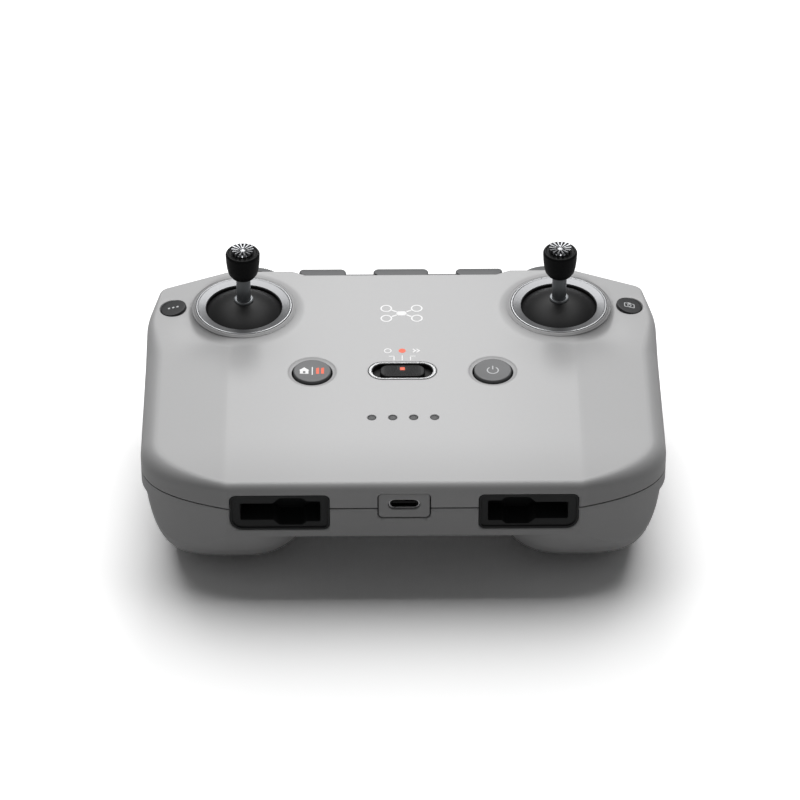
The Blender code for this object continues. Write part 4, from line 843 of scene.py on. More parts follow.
@dataclass(frozen=True)
class Shells:
    """The two shells, with the seam between them, their openings and their round edges."""

    form: HousingForm
    seam_gap: float = 0.3
    slot_inner: float = 21.0
    slot_outer: float = 49.4
    slot_low: float = 26.3
    slot_high: float = 38.7
    bezel_half: float = 7.25
    bezel_low: float = 30.5
    bezel_high: float = 38.9
    recess_half: float = 31.5
    recess_front: float = 41.6
    recess_floor: float = 26.5
    lip: float = 41.5
    shoulder_reach: float = 9.2
    stick_hole: float = 12.0
    collar_foot: float = 18.5
    button_hole: float = 5.95
    wall: float = 1.1

    def slot_outline(self, side: float, grow: float = 0.0) -> Array:
        """A storage slot's opening in X and Z, its outer lower corner rounder than the others."""
        loop = rectangle((self.slot_inner - grow, self.slot_low - grow),
                         (self.slot_outer + grow, self.slot_high + grow), (1.7, 3.6, 1.9, 1.7), 8)
        return loop if side > 0 else (loop * (-1, 1))[::-1]

    def openings(self) -> list[Array]:
        """The side wall's openings, unrolled: slots, port, clamp recess and shoulder controls."""
        form = self.form
        middle_run = form.along(0.0)
        cuts = [spaced(self.slot_outline(side), 1.0) + (middle_run, 0.0) for side in (-1, 1)]
        half = self.bezel_half + 0.3
        cuts.append(rectangle((middle_run - half, self.bezel_low - 0.3),
                              (middle_run + half, self.bezel_high + 0.15), 1.4))
        start, end = form.along(self.recess_half, True), form.along(-self.recess_half, True)
        cuts.append(rectangle((start, self.recess_floor), (end, self.lip), 0.6))
        for side, node in ((-1.0, "gimbal_dial"), (1.0, "shutter_button")):
            low, high = span(node)
            reach = form.run[:-1][self.near_shoulder(side)]
            cuts.append(rectangle((reach.min(), low[2] - 0.4), (reach.max(), high[2] + 0.12), 0.4))
        return cuts

    def near_shoulder(self, side: float) -> Array:
        """Say which outline points lie over a shoulder control."""
        centre = (side * SHOULDER_X, self.form.back + SHOULDER_REACH - SHOULDER_RADIUS)
        return np.hypot(*(self.form.loop - centre).T) < self.shoulder_reach

    def build(self) -> None:
        """Build both shells and the walls of the clamp's recess."""
        self.build_upper()
        self.build_lower()
        self.build_recess()

    def holes(self) -> list[tuple[Array, list[tuple[float, float, float, float]]]]:
        """List the top face's openings.

        Returns:
            For each, its outline and its stations: distance outward from the outline, rise over
            the top face, a height of its own, and the share of the latter.
        """
        form = self.form
        found = []
        seat = float(span("stick_trim_ring_left")[1][2]) - 0.1
        flank = [(self.collar_foot, 0.0), (17.9, 0.02), (17.3, 0.09), (16.7, 0.20), (16.1, 0.35),
                 (15.6, 0.52), (15.2, 0.68), (14.9, 0.82), (14.7, 0.92), (14.58, 0.98)]
        for label in ("left", "right"):
            centre = middle("stick_trim_ring_" + label)[:2]
            outline = circle(centre, self.stick_hole, 128)
            away = outline - centre
            side = 1.0 if centre[0] > 0 else -1.0
            turn = np.degrees(np.abs(np.arctan2(away[:, 1], away[:, 0] * side) - 0.2))
            broad = 0.54 + 0.46 * smooth_step(turn, 22.0, 60.0)
            stations = [(14.5 + (radius - 14.5) * broad - self.stick_hole, 0.0, seat, share)
                        for radius, share in flank]
            stations += [(14.45 - self.stick_hole, 0.0, seat, 1.0),
                         (14.36 - self.stick_hole, 0.0, seat - 0.03, 1.0),
                         (14.3 - self.stick_hole, 0.0, seat - 0.12, 1.0),
                         (14.3 - self.stick_hole, 0.0, form.top + 0.3, 1.0),
                         (0.0, 0.0, form.top + 0.2, 1.0), (0.0, 0.0, form.top - 0.5, 1.0)]
            found.append((outline, stations))
        hole = self.button_hole
        dish = [(1.55, 0.0), (1.2, -0.005), (1.08, -0.05), (0.95, -0.14), (0.6, -0.30),
                (0.2, -0.42), (0.06, -0.47), (0.0, -0.56), (0.0, -2.2)]
        for node in ("home_pause_button", "power_button"):
            stations = [(grow, rise, 0.0, 0.0) for grow, rise in dish]
            found.append((circle(middle(node)[:2], hole, 96), stations))
        rim = [(0.6, 0.0), (0.25, 0.0), (0.1, -0.02), (0.03, -0.07), (0.0, -0.16), (0.0, -2.2)]
        low, high = span("mode_switch_well")
        half = (high - low) / 2
        outline = stadium(half[0] + 0.12, half[1] + 0.12, (low + high)[:2] / 2)
        found.append((outline, [(grow, rise, 0.0, 0.0) for grow, rise in rim]))
        lights = span("status_light_pipe")
        for x in LIGHT_PLACES:
            outline = circle((x, (lights[0][1] + lights[1][1]) / 2), LIGHT_RADIUS + 0.1, 40)
            found.append((outline, [(grow, rise, 0.0, 0.0) for grow, rise in rim]))
        return found

    def build_upper(self) -> None:
        """Build the upper shell.

        Its edge is a quarter circle whose radius changes along the outline. The collars, dishes
        and hole rims are outlines moved outward by their stations, and the rest is filled.
        """
        form, surface = self.form, Surface()
        radius = form.edge_round
        crown = form.top_height(offset(form.loop, radius))
        rings = [form.ring_at(radius * (1 - math.cos(t)), crown - radius * (1 - math.sin(t)))
                 for t in np.linspace(0.0, QUARTER, 10)]
        rings.insert(0, form.ring_at(0.0, crown - radius - 0.25))
        for beyond in (0.12, 0.35):
            inner = offset(form.loop, radius + beyond)
            rings.append(form.on_top(inner, 0.0))
        surface.grid(np.stack(rings))

        loops = []
        for outline, stations in self.holes():
            columns = []
            for grow, rise, height, share in stations:
                moved = offset(outline, -grow)
                level = form.top_height(moved) + rise
                columns.append(Facing.UP.place(moved, level * (1 - share) + height * share))
            surface.grid(np.stack(columns))
            loops.append(offset(outline, -stations[0][0]))
        for side in (-1.0, 1.0):
            loops.append(self.corner_hole(surface, side))
        creases = []
        for side in (-1.0, 1.0):
            for near in (-0.35, 0.0, 0.35):
                y = np.arange(form.front + 3.4, form.back - 19.7 - 18.6, 1.4)
                creases.append(np.stack([np.full(len(y), side * (form.panel_half + near)), y], 1))
        grid = mesh_points((-form.half_width, form.front), (form.half_width, form.back), 1.7)
        plan, triangles = fill(inner, loops, grid, creases, 0.75)
        surface.add(form.on_top(plan, 0.0), triangles)

        edge = form.seam + self.seam_gap / 2
        cuts = self.openings()
        side_wall(surface, form, np.full(len(form.loop), edge + 0.14), crown - radius - 0.25, cuts)
        self.seam_edge(surface, edge, 1.0, cuts)
        surface.piece("upper_shell_skin", LIGHT_SHELL, "housing", "light_shell", ["upper_shell"],
                      self.wall)

    def corner_hole(self, surface: Surface, side: float) -> Array:
        """Add a corner button's tilted hole and return the loop round it."""
        button = CornerButton.on_side(side)
        loop = circle(button.centre[:2], button.radius + 0.22, 72)
        shrunk = button.centre[:2] + (loop - button.centre[:2]) * (math.cos(button.tilt), 1.0)
        rows = []
        for grow, rise, slide in ((0.4, 0.0, 0.0), (0.3, -0.01, 0.0), (0.16, -0.05, 0.0),
                                  (0.06, -0.12, 0.0), (0.0, -0.24, 0.0), (0.0, -2.6, 0.6)):
            plan = offset(shrunk, -grow)
            lean = (plan[:, 0] - button.centre[0]) * side / button.radius
            sunk = self.form.on_top(plan, rise * (1 + 0.8 * np.clip(lean, -1.0, 1.0)))
            rows.append(sunk - (side * slide, 0.0, 0.0))
        surface.grid(np.stack(rows))
        return offset(shrunk, -0.4)

    def seam_edge(self, surface: Surface, level: float, way: float, cuts: Sequence[Array]) -> None:
        """Roll a shell's edge in at the seam, but not across the openings."""
        form = self.form
        centres = (form.run[:-1] + form.run[1:]) / 2
        keep = np.ones(len(centres), bool)
        for cut in cuts:
            if cut[:, 1].min() < level < cut[:, 1].max():
                keep &= (centres < cut[:, 0].min()) | (centres > cut[:, 0].max())
        rows = [form.ring_at(inset, level + way * rise)
                for inset, rise in ((0.0, 0.14), (0.03, 0.07), (0.1, 0.02), (0.5, 0.0))]
        surface.grid(np.stack(rows), keep=keep)

    def build_lower(self) -> None:
        """Build the lower shell: wall, underside with its two grips, and the screw holes."""
        form, surface = self.form, Surface()
        rings = [form.ring_at(0.0, form.under_height(form.loop) + 0.3)]
        insets = (0.0, 0.015, 0.05, 0.11, 0.2, 0.33, 0.5, 0.72, 1.0, 1.35, 1.75)
        for inset in insets:
            moved = offset(form.loop, inset)
            rings.append(Facing.UP.place(moved, form.under_height(moved)))
        surface.grid(np.stack(rings))
        extra = [offset(form.loop, inset) for inset in (2.3, 2.95, 3.7, 4.6, 5.7, 7.0)]
        free = mesh_points((-form.half_width, form.front), (form.half_width, form.back), 1.35)
        free = free[inside(free, offset(form.loop, 7.6))]
        loops = []
        for index in range(4):
            low, high = span(f"case_screw_{index + 1}")
            loop = circle(((low + high) / 2)[:2], 2.8, 40)
            seat = 27.0
            rows = []
            for grow, drop in ((0.35, 0.0), (0.15, 0.0), (0.04, 0.05), (0.0, 0.18)):
                moved = offset(loop, -grow)
                rows.append(Facing.UP.place(moved, form.under_height(moved) + drop))
            rows.append(Facing.UP.place(loop, seat))
            rows.append(Facing.UP.place(offset(loop, 1.4), seat))
            surface.grid(np.stack(rows))
            loops.append(offset(loop, -0.35))
        plan, triangles = fill(moved_in(form, insets[-1]), loops, np.concatenate([*extra, free]),
                               (), 0.5)
        surface.add(Facing.UP.place(plan, form.under_height(plan)), triangles)
        edge = form.seam - self.seam_gap / 2
        cuts = self.openings()
        side_wall(surface, form, form.under_height(form.loop) + 0.3,
                  np.full(len(form.loop), edge - 0.14), cuts)
        self.seam_edge(surface, edge, -1.0, cuts)
        surface.piece("lower_shell_skin", DARK_SHELL, "housing", "dark_shell", ["lower_shell"],
                      self.wall)

    def build_recess(self) -> None:
        """Build the walls of the recess that the phone clamp slides out of."""
        form, half, thick = self.form, self.recess_half, 1.0
        start, end = self.recess_front, form.back - 2.4
        seam_low, seam_high = form.seam - self.seam_gap / 2, form.seam + self.seam_gap / 2
        upper = Surface()
        bay = [(half, end), (half, start), (-half, start), (-half, end), (-half - thick, end),
               (-half - thick, start - thick), (half + thick, start - thick), (half + thick, end)]
        upper.plate(np.array(bay[::-1]), seam_high + 0.05, self.lip + 0.8)
        upper.plate(rectangle((-half, start), (half, end - 0.2), 0.05), self.lip, self.lip + 0.7)
        upper.piece("upper_recess_walls", LIGHT_SHELL, "housing", "light_shell")
        lower = Surface()
        floor = self.recess_floor
        tray = [(-half - thick, floor - 0.8), (half + thick, floor - 0.8),
                (half + thick, seam_low - 0.05), (half, seam_low - 0.05), (half, floor),
                (-half, floor), (-half, seam_low - 0.05), (-half - thick, seam_low - 0.05)]
        lower.plate(np.array(tray), end, start, place=Facing.FRONT.place)
        mouth, head = 20.4, span("clamp_plate")[1][2] + 0.3
        back_wall = [(-half - thick, floor - 0.8), (-mouth, floor - 0.8), (-mouth, head),
                     (mouth, head), (mouth, floor - 0.8), (half + thick, floor - 0.8),
                     (half + thick, seam_low - 0.05), (-half - thick, seam_low - 0.05)]
        lower.plate(np.array(back_wall), start, start - thick, place=Facing.FRONT.place)
        lower.piece("lower_recess_walls", DARK_SHELL, "housing", "dark_shell")


def moved_in(form: HousingForm, inset: float) -> Array:
    """The plan outline moved inward."""
    return offset(form.loop, inset)


# ----------------------------------------------------------------------------------------------
# Sticks

LIGHT_PLACES = (-9.0, -3.0, 3.0, 9.0)
LIGHT_RADIUS = 1.15


@dataclass(frozen=True)
class StickUnit:
    """One stick with its crown, its dome and the metal ring round it."""

    label: str
    pivot_depth: float = 15.4    # pivot under the CAD dome's top
    dome_radius: float = 17.0
    dome_skirt: float = 57.0
    shaft_radius: float = 2.1
    crown_radius: float = 3.25
    crown_rise: float = 1.35
    blades: int = 14

    @property
    def centre(self) -> Array:
        """The stick's axis in plan."""
        return middle("stick_trim_ring_" + self.label)[:2]

    @property
    def pivot(self) -> float:
        """Height of the point that the stick turns about."""
        return float(span("stick_dome_" + self.label)[1][2]) - self.pivot_depth

    def build(self) -> None:
        """Build the ring, the dome, the stick and its crown."""
        body = self.label + "_stick"
        self.build_ring()
        self.build_dome(body)
        self.build_stick(body)
        self.build_crown(body)

    def build_ring(self) -> None:
        """Build the ring: a bright rim, then a broad band that slopes down to a sleeve painted
        near-black as the shade in the gap below it.
        """
        top = span("stick_trim_ring_" + self.label)[1][2]
        band = rounded([(14.2, top - 0.85), (14.2, top), (13.75, top), (13.5, top - 0.14),
                        (11.3, top - 0.62), (11.15, top - 1.0), (11.6, top - 1.1),
                        (11.9, top - 0.9)],
                       (0.1, 0.16, 0.14, 0.1, 0.15, 0.05, 0.1, 0.1), 5)
        Surface().ring(band, self.centre, 160).piece(
            "ring_band_" + self.label, RING_METAL, "housing", "ring",
            ["stick_trim_ring_" + self.label], sharp=40)
        # painted shade: a near-black sleeve fills the gap between the ring and the dome
        sleeve = rounded([(11.62, top - 1.16), (11.14, top - 1.16), (11.14, top - 1.75),
                          (11.62, top - 1.75)], 0.1, 3)
        Surface().ring(sleeve, self.centre, 128).piece(
            "ring_gap_shade_" + self.label, SHADE, "housing", "pocket")

    def build_dome(self, body: str) -> None:
        """Build the dome: a spherical cap about the pivot, drawn in at its hidden skirt."""
        angle = np.linspace(0.0, math.radians(self.dome_skirt), 40)
        reach = self.dome_radius - 1.6 * smooth_step(angle, math.radians(45.0), angle[-1])
        outer = np.stack([reach * np.sin(angle), self.pivot + reach * np.cos(angle)], 1)
        under = np.stack([(reach - 0.9) * np.sin(angle),
                          self.pivot + (reach - 0.9) * np.cos(angle)], 1)[::-1]
        Surface().turned(np.concatenate([outer, under]), self.centre, 128).piece(
            "dome_" + self.label, SATIN_BLACK, body, "satin_black", ["stick_dome_" + self.label])

    def build_stick(self, body: str) -> None:
        """Build the stick: a straight shaft with a collar at its foot, and a cup-shaped head."""
        foot = self.pivot + self.dome_radius - 0.35
        top = span("stick_crown_" + self.label)[1][2] - self.crown_rise
        shaft = rounded([(0.0, foot - 0.4), (self.shaft_radius, foot - 0.4),
                         (self.shaft_radius, top - 8.6), (0.0, top - 8.6)], 0.15, 3, closed=False)
        Surface().turned(shaft, self.centre, 64).piece(
            "shaft_" + self.label, SHAFT_GREY, body, "shaft", ["control_stick_" + self.label])
        collar = rounded([(2.0, foot - 0.3), (2.9, foot - 0.3), (2.9, foot + 0.45),
                          (2.6, foot + 0.7), (2.0, foot + 0.75)], 0.18, 4)
        Surface().ring(collar, self.centre, 64).piece("shaft_collar_" + self.label, SHAFT_GREY,
                                                      body, "shaft")
        cup = rounded([(0.0, top - 8.9), (2.2, top - 8.9), (3.35, top - 8.4), (4.3, top - 7.0),
                       (4.65, top - 5.4), (4.9, top - 3.2), (5.02, top - 0.6), (4.65, top),
                       (4.2, top), (4.05, top - 0.2), (0.0, top - 0.2)],
                      (0, 0.5, 1.2, 1.4, 2.0, 3.0, 0.5, 0.25, 0.12, 0.12, 0), 6, closed=False)
        Surface().turned(cup, self.centre, 96).piece("head_" + self.label, HEAD_BLACK, body,
                                                     "satin_black")

    def build_crown(self, body: str) -> None:
        """Build the crown: a flat star of blades round a bright centre dome.

        The blade share is a smoothed square wave of the angle. The rim is further out and the
        face higher where there is a blade, and each blade rises a little with the radius.
        """
        top = span("stick_crown_" + self.label)[1][2]
        foot = top - self.crown_rise - 0.35
        base = foot + 0.42
        count = self.blades * 20
        angle = np.linspace(0.0, 2 * math.pi, count, endpoint=False)[None]
        blade = smooth_step(np.cos(self.blades * angle), -0.35, 0.25)
        share = np.concatenate([np.linspace(0.0, 1.0, 15), [1.0, 1.0, 1.0]])[:, None]
        rim = self.crown_radius * (0.84 + 0.16 * blade)
        radius = share * rim
        rise = smooth_step(radius, 0.7, 1.0) * (0.62 + 0.38 * (radius / self.crown_radius) ** 1.2)
        edge = np.concatenate([np.zeros(15), [0.08, 0.2, 1.0]])[:, None]
        height = base + blade * rise * (top - base)
        height = np.where(edge >= 1.0, foot, height - edge)
        points = np.stack([self.centre[0] + radius * np.cos(angle),
                           self.centre[1] + radius * np.sin(angle), height], -1)
        floor = points[-1:].copy()
        floor[..., 0], floor[..., 1] = self.centre[0], self.centre[1]
        surface = Surface().grid(np.concatenate([points, floor]))
        turns = np.linspace(0.0, QUARTER, 8)
        cap = np.stack([1.05 * np.cos(turns), base + 0.55 + 0.4 * np.sin(turns)], 1)
        surface.turned(np.concatenate([[(0.0, base - 0.2), (1.05, base - 0.2)], cap]),
                       self.centre, 40)
        surface.piece("crown_" + self.label, CROWN_METAL, body, "crown",
                      ["stick_crown_" + self.label], sharp=35)


# ----------------------------------------------------------------------------------------------
# Buttons, slider, lights and printed marks


def bar(start: Sequence[float], end: Sequence[float], width: float) -> Array:
    """Outline of a straight stroke with slightly round ends."""
    start, end = np.asarray(start, float), np.asarray(end, float)
    way = (end - start) / np.linalg.norm(end - start)
    side = np.array([-way[1], way[0]]) * width / 2
    corners = np.stack([start - side, end - side, end + side, start + side])
    return rounded(corners, width * 0.18, 4)


@dataclass(frozen=True)
class RoundButton:
    """A round cap on the centre panel with its printed icon."""

    node: str
    body: str
    radius: float = 5.45

    @property
    def centre(self) -> Array:
        """The cap's centre in plan."""
        return middle(self.node)[:2]

    @property
    def top(self) -> float:
        """Height of the cap's face."""
        return float(span(self.node)[1][2]) + 0.1

    def build(self) -> None:
        """Build the cap: a shallow dish inside a soft edge."""
        top = self.top
        inner = np.array([(0.0, top - 0.16), (1.5, top - 0.15), (3.0, top - 0.105),
                          (4.2, top - 0.04), (4.75, top)])
        side = rounded([(4.75, top), (self.radius, top - 0.02), (self.radius, top - 2.1)],
                       (0, 0.42, 0), 8, closed=False)
        cap = np.concatenate([inner, side[1:], [(0.0, top - 2.1)]])
        Surface().turned(cap, self.centre).piece(self.node + "_cap", BUTTON_GREY, self.body,
                                                 "button", [self.node])

    def on_face(self, plan: Array, lift: Array | float) -> Array:
        """Place an icon's points, given from the cap's centre, on its dished face."""
        far = np.hypot(plan[:, 0], plan[:, 1])
        dish = np.interp(far, [0, 1.5, 3.0, 4.2, 4.75], [-0.16, -0.15, -0.105, -0.04, 0.0])
        return np.concatenate([plan + self.centre, (self.top + dish + lift)[:, None]], 1)

    def icon(self, name: str, shapes: Sequence[tuple[Array, Sequence[Array]]],
             finish: Finish) -> None:
        """Print an icon: each shape is an outline and its holes."""
        surface = Surface()
        for outline, holes in shapes:
            surface.plate(outline, -0.04, 0.015, holes, place=self.on_face)
        surface.piece(name, finish, self.body, "button")


def home_icons(button: RoundButton) -> None:
    """Print a house, a separator and two pause bars."""
    house = rounded([(-3.55, -1.35), (-1.05, -1.35), (-1.05, 0.3), (-0.75, 0.3), (-2.3, 1.75),
                     (-3.85, 0.3), (-3.55, 0.3)], 0.08, 3)
    door = rounded([(-2.65, -1.1), (-1.95, -1.1), (-1.95, -0.1), (-2.65, -0.1)], 0.06, 3)
    button.icon("home_icon", [(house, [door])], PRINT_WHITE)
    button.icon("home_separator", [(bar((0.05, -1.9), (0.05, 1.9), 0.3), ())], PRINT_WHITE)
    bars = [(rounded([(x, -1.45), (x + 0.85, -1.45), (x + 0.85, 1.55), (x, 1.3)], 0.1, 3), ())
            for x in (1.15, 2.6)]
    button.icon("pause_icon", bars, PRINT_ORANGE)


def power_icon(button: RoundButton) -> None:
    """Print an open ring with a bar in its gap."""
    start, end = math.radians(125), math.radians(415)
    outer, inner = arc((0, -0.1), 1.75, start, end, 40), arc((0, -0.1), 1.42, end, start, 40)
    button.icon("power_icon", [(np.concatenate([outer, inner]), ()),
                               (bar((0.0, 0.35), (0.0, 2.0), 0.34), ())], PRINT_PALE)


@dataclass(frozen=True)
class CornerButton:
    """A small tilted button at a shoulder."""

    node: str
    body: str
    side: float
    centre: Array
    radius: float = 3.8
    tilt: float = math.radians(14.0)

    @classmethod
    def on_side(cls, side: float) -> "CornerButton":
        """Return the button of the left (-1) or the right side."""
        node, body = (("custom_button", "custom_key") if side < 0
                      else ("camera_button", "camera_key"))
        low, high = span(node)
        plan = np.array([side * 67.5, (low[1] + high[1]) / 2 + 1.1])
        height = float(FORM.top_height(plan[None])[0]) + 0.25
        return cls(node, body, side, np.array([*plan, height]))

    def build(self) -> None:
        """Build the cap, turned outward, and its printed icon."""
        top = self.centre[2]
        side = rounded([(3.3, top), (self.radius, top - 0.05), (self.radius, top - 2.0),
                        (self.radius, top - 3.0)], (0, 0.35, 0, 0), 7, closed=False)
        profile = np.concatenate([[(0.0, top - 0.02), (1.5, top - 0.02)], side,
                                  [(0.0, top - 3.0)]])
        move = tilted(self.centre, self.side * self.tilt)
        Surface().turned(profile, self.centre[:2], 72).piece(
            self.node + "_cap", CORNER_GREY, self.body, "satin_black", [self.node], move=move)
        surface = Surface()
        for outline, holes in self.icon():
            surface.plate(outline + self.centre[:2], top - 0.05, top + 0.012,
                          [hole + self.centre[:2] for hole in holes])
        surface.piece(self.node + "_icon", PRINT_PALE, self.body, "satin_black", move=move)

    def icon(self) -> list[tuple[Array, list[Array]]]:
        """Return the icon: three dots on the left, a camera on the right."""
        if self.side < 0:
            return [(circle((x, 0.0), 0.36, 24), []) for x in (-1.3, 0.0, 1.3)]
        frame_line = rectangle((-1.6, -1.1), (1.6, 0.9), 0.35)
        opening = rectangle((-1.36, -0.86), (1.36, 0.66), 0.2)
        ring = circle((0.0, -0.1), 0.62, 32), [circle((0.0, -0.1), 0.4, 32)]
        return [(frame_line, [opening]), ring,
                (rectangle((-0.5, 0.95), (0.5, 1.2), 0.08), [])]


@dataclass(frozen=True)
class ModeSwitch:
    """The mode slider in its well."""

    rim: float = 1.0
    side_rim: float = 0.7
    rib_pitch: float = 0.62

    def build(self) -> None:
        """Build the well, its inside painted near-black as shade, and the slider with its orange
        dot.
        """
        low, high = span("mode_switch_well")
        centre, half = (low + high) / 2, (high - low) / 2
        top = high[2] + 0.06
        outer = stadium(half[0], half[1], centre)
        inner = stadium(half[0] - self.rim, half[1] - self.side_rim, centre)
        Surface().plate(outer, top - 1.6, top, [inner], edge=0.16).piece(
            "mode_well_rim", GLOSS_GREY, "housing", "gloss_grey", ["mode_switch_well"], sharp=40)
        # painted shade: the well's floor and walls are near-black to stand in for the shade inside
        # it
        tray = Surface().plate(offset(inner, -0.1), top - 2.35, top - 1.7)
        wall = offset(inner, 0.02)
        tray.plate(wall, top - 1.75, top - 0.18, [offset(wall, 0.12)])
        tray.piece("mode_well_shade", SHADE, "housing", "pocket")
        self.build_slider(centre)

    def ribbed(self, plan: Array, centre: Array, top: float, half: Array) -> Array:
        """Height of the slider's face: ribs across it, fading out at its edge and at the dot."""
        x, y = plan[:, 0] - centre[0], plan[:, 1] - centre[1]
        wave = 0.5 + 0.5 * np.cos(2 * math.pi * x / self.rib_pitch)
        reach = np.maximum(np.abs(x) / half[0], np.abs(y) / half[1])
        fade = 1 - smooth_step(reach, 0.72, 0.84)
        dot = smooth_step(np.hypot(x, y - 0.75), 1.1, 1.5)
        return top - 0.16 + 0.16 * wave * fade * dot

    def build_slider(self, centre: Array) -> None:
        """Build the slider: a rounded block whose face is a grid of ribs."""
        low, high = span("mode_switch_slider")
        half, top = (high - low)[:2] / 2 - (0.1, 0.0), high[2]
        foot = top - 1.7
        outline = rectangle(centre[:2] - half, centre[:2] + half, 2.3, 10)
        surface = Surface()
        rows = []
        for inset, drop in ((0.0, top - foot), (0.0, 0.52), (0.05, 0.36), (0.17, 0.23),
                            (0.36, 0.165), (0.5, 0.16)):
            rows.append(Facing.UP.place(offset(outline, inset), top - drop))
        surface.grid(np.stack(rows))
        face = mesh_points(centre[:2] - half, centre[:2] + half, 0.155)
        plan, triangles = fill(offset(outline, 0.5), (), face, (), 0.1)
        surface.add(Facing.UP.place(plan, self.ribbed(plan, centre, top, half)), triangles)
        plan, triangles = fill(outline)
        surface.add(Facing.UP.place(plan, foot), triangles)
        surface.piece("mode_slider_cap", SLIDER_BLACK, "mode_slider", "satin_black",
                      ["mode_switch_slider"], sharp=50)
        dot = rectangle((centre[0] - 0.72, centre[1] + 0.05), (centre[0] + 0.72, centre[1] + 1.5),
                        0.25)
        Surface().plate(dot, top - 0.3, top - 0.08, edge=0.05).piece(
            "mode_slider_dot", PRINT_ORANGE, "mode_slider", "satin_black")


def build_lights() -> None:
    """Build the four status windows: low lenses, each a flat dome in a round hole."""
    low, high = span("status_light_pipe")
    y = (low[1] + high[1]) / 2
    top = float(FORM.top_height(np.array([[0.0, y]]))[0])
    surface = Surface()
    turns = np.linspace(0.0, QUARTER, 8)
    lens = np.stack([LIGHT_RADIUS * np.sin(turns), top - 0.16 + 0.09 * np.cos(turns)], 1)
    for x in LIGHT_PLACES:
        surface.turned(np.concatenate([lens, [(LIGHT_RADIUS, top - 1.4), (0.0, top - 1.4)]]),
                       (x, y), 48)
    surface.piece("status_windows", LENS, "housing", "light", ["status_light_pipe"])


def print_on_top(name: str, shapes: Sequence[tuple[Array, Sequence[Array]]],
                 finish: Finish) -> None:
    """Print flat shapes on the top face, each an outline and its holes."""
    surface = Surface()
    for outline, holes in shapes:
        surface.plate(outline, -0.03, 0.018, holes, place=FORM.on_top)
    surface.piece(name, finish, "housing", "light_shell")


def build_marks() -> None:
    """Print the generic marks: a small quadcopter, three mode marks and their pointers."""
    arms, centre = [], np.array([0.0, 26.9])
    for side_x in (-1, 1):
        for side_y in (-1, 1):
            rotor = centre + (side_x * 4.5, side_y * 2.5)
            arms.append((circle(rotor, 1.75, 48), [circle(rotor, 1.3, 40)]))
            way = (rotor - centre) / np.linalg.norm(rotor - centre)
            arms.append((bar(centre + way * 1.45, rotor - way * 1.85, 0.55), ()))
    arms.append((rectangle(centre - (1.5, 1.05), centre + (1.5, 1.05), 0.6), ()))
    print_on_top("quadcopter_mark", arms, PRINT_WHITE)
    level = 8.3
    ring = (circle((-4.2, level), 1.15, 40), [circle((-4.2, level), 0.82, 40)])
    chevrons = [(rounded([(3.1, level - 1.05), (4.25, level), (3.1, level + 1.05),
                          (3.1, level + 0.5), (3.65, level), (3.1, level - 0.5)], 0.05, 3), ()),
                (rounded([(4.2, level - 1.05), (5.35, level), (4.2, level + 1.05),
                          (4.2, level + 0.5), (4.75, level), (4.2, level - 0.5)], 0.05, 3), ())]
    print_on_top("mode_marks", [ring, *chevrons], PRINT_WHITE)
    print_on_top("mode_mark_normal", [(circle((0.0, level), 1.05, 40), ())], PRINT_ORANGE)
    ticks = [(bar((0.0, 3.6), (0.0, 6.0), 0.32), ())]
    for side in (-1, 1):
        ticks.append((bar((side * 2.4, 3.6), (side * 2.4, 5.6), 0.32), ()))
        ticks.append((bar((side * 2.3, 5.62), (side * 3.9, 5.62), 0.32), ()))
    print_on_top("mode_pointers", ticks, PRINT_WHITE)


# ----------------------------------------------------------------------------------------------
# Front face


@dataclass(frozen=True)
class StorageSlot:
    """The dark liner of one stick storage slot."""

    label: str
    side: float
    shells: Shells
    middle_z: float = 32.5
    face_depth: float = 0.55
    pocket_depth: float = 8.6

    def pocket(self) -> Array:
        """Outline of the pocket: a broad chamber for the head, and arms for crown and shaft."""
        corners = [(23.7, -3.5), (27.6, -3.5), (28.7, -4.7), (35.2, -4.7), (37.1, -2.85),
                   (46.3, -2.85), (46.3, 2.85), (37.1, 2.85), (35.2, 4.7), (28.7, 4.7),
                   (27.6, 3.5), (23.7, 3.5)]
        loop = rounded(corners, (0.5, 0.3, 1.2, 1.4, 0.5, 0.4, 0.4, 0.5, 1.4, 1.2, 0.3, 0.5), 6)
        loop = spaced(loop + (0.0, self.middle_z), 1.2)
        return loop if self.side > 0 else (loop * (-1, 1))[::-1]

    def build(self) -> None:
        """Build the liner: a rim, a face set a little behind it, and the pocket."""
        front = FORM.front
        outline = spaced(self.shells.slot_outline(self.side, -0.12), 1.2)
        pocket = self.pocket()
        face, floor = front + self.face_depth, front + self.pocket_depth
        surface = Surface()
        rows = [(0.0, floor + 1.2), (0.0, front + 0.25), (0.05, front + 0.12), (0.2, front + 0.06),
                (0.5, front + 0.1), (0.62, front + 0.22), (0.65, face)]
        surface.grid(np.stack([Facing.FRONT.place(offset(outline, inset), depth)
                               for inset, depth in rows]))
        plan, triangles = fill(offset(outline, 0.65), [offset(pocket, -0.25)])
        surface.add(Facing.FRONT.place(plan, face), triangles)
        rows = [(-0.25, face), (-0.08, face + 0.07), (0.0, face + 0.25), (0.12, floor - 0.3),
                (0.35, floor)]
        surface.grid(np.stack([Facing.FRONT.place(offset(pocket, inset), depth)
                               for inset, depth in rows]))
        plan, triangles = fill(offset(pocket, 0.35))
        surface.add(Facing.FRONT.place(plan, floor), triangles)
        plan, triangles = fill(outline)
        surface.add(Facing.FRONT.place(plan, floor + 1.2), triangles)
        surface.piece("slot_liner_" + self.label, POCKET, "housing", "pocket",
                      ["stick_slot_liner_" + self.label])


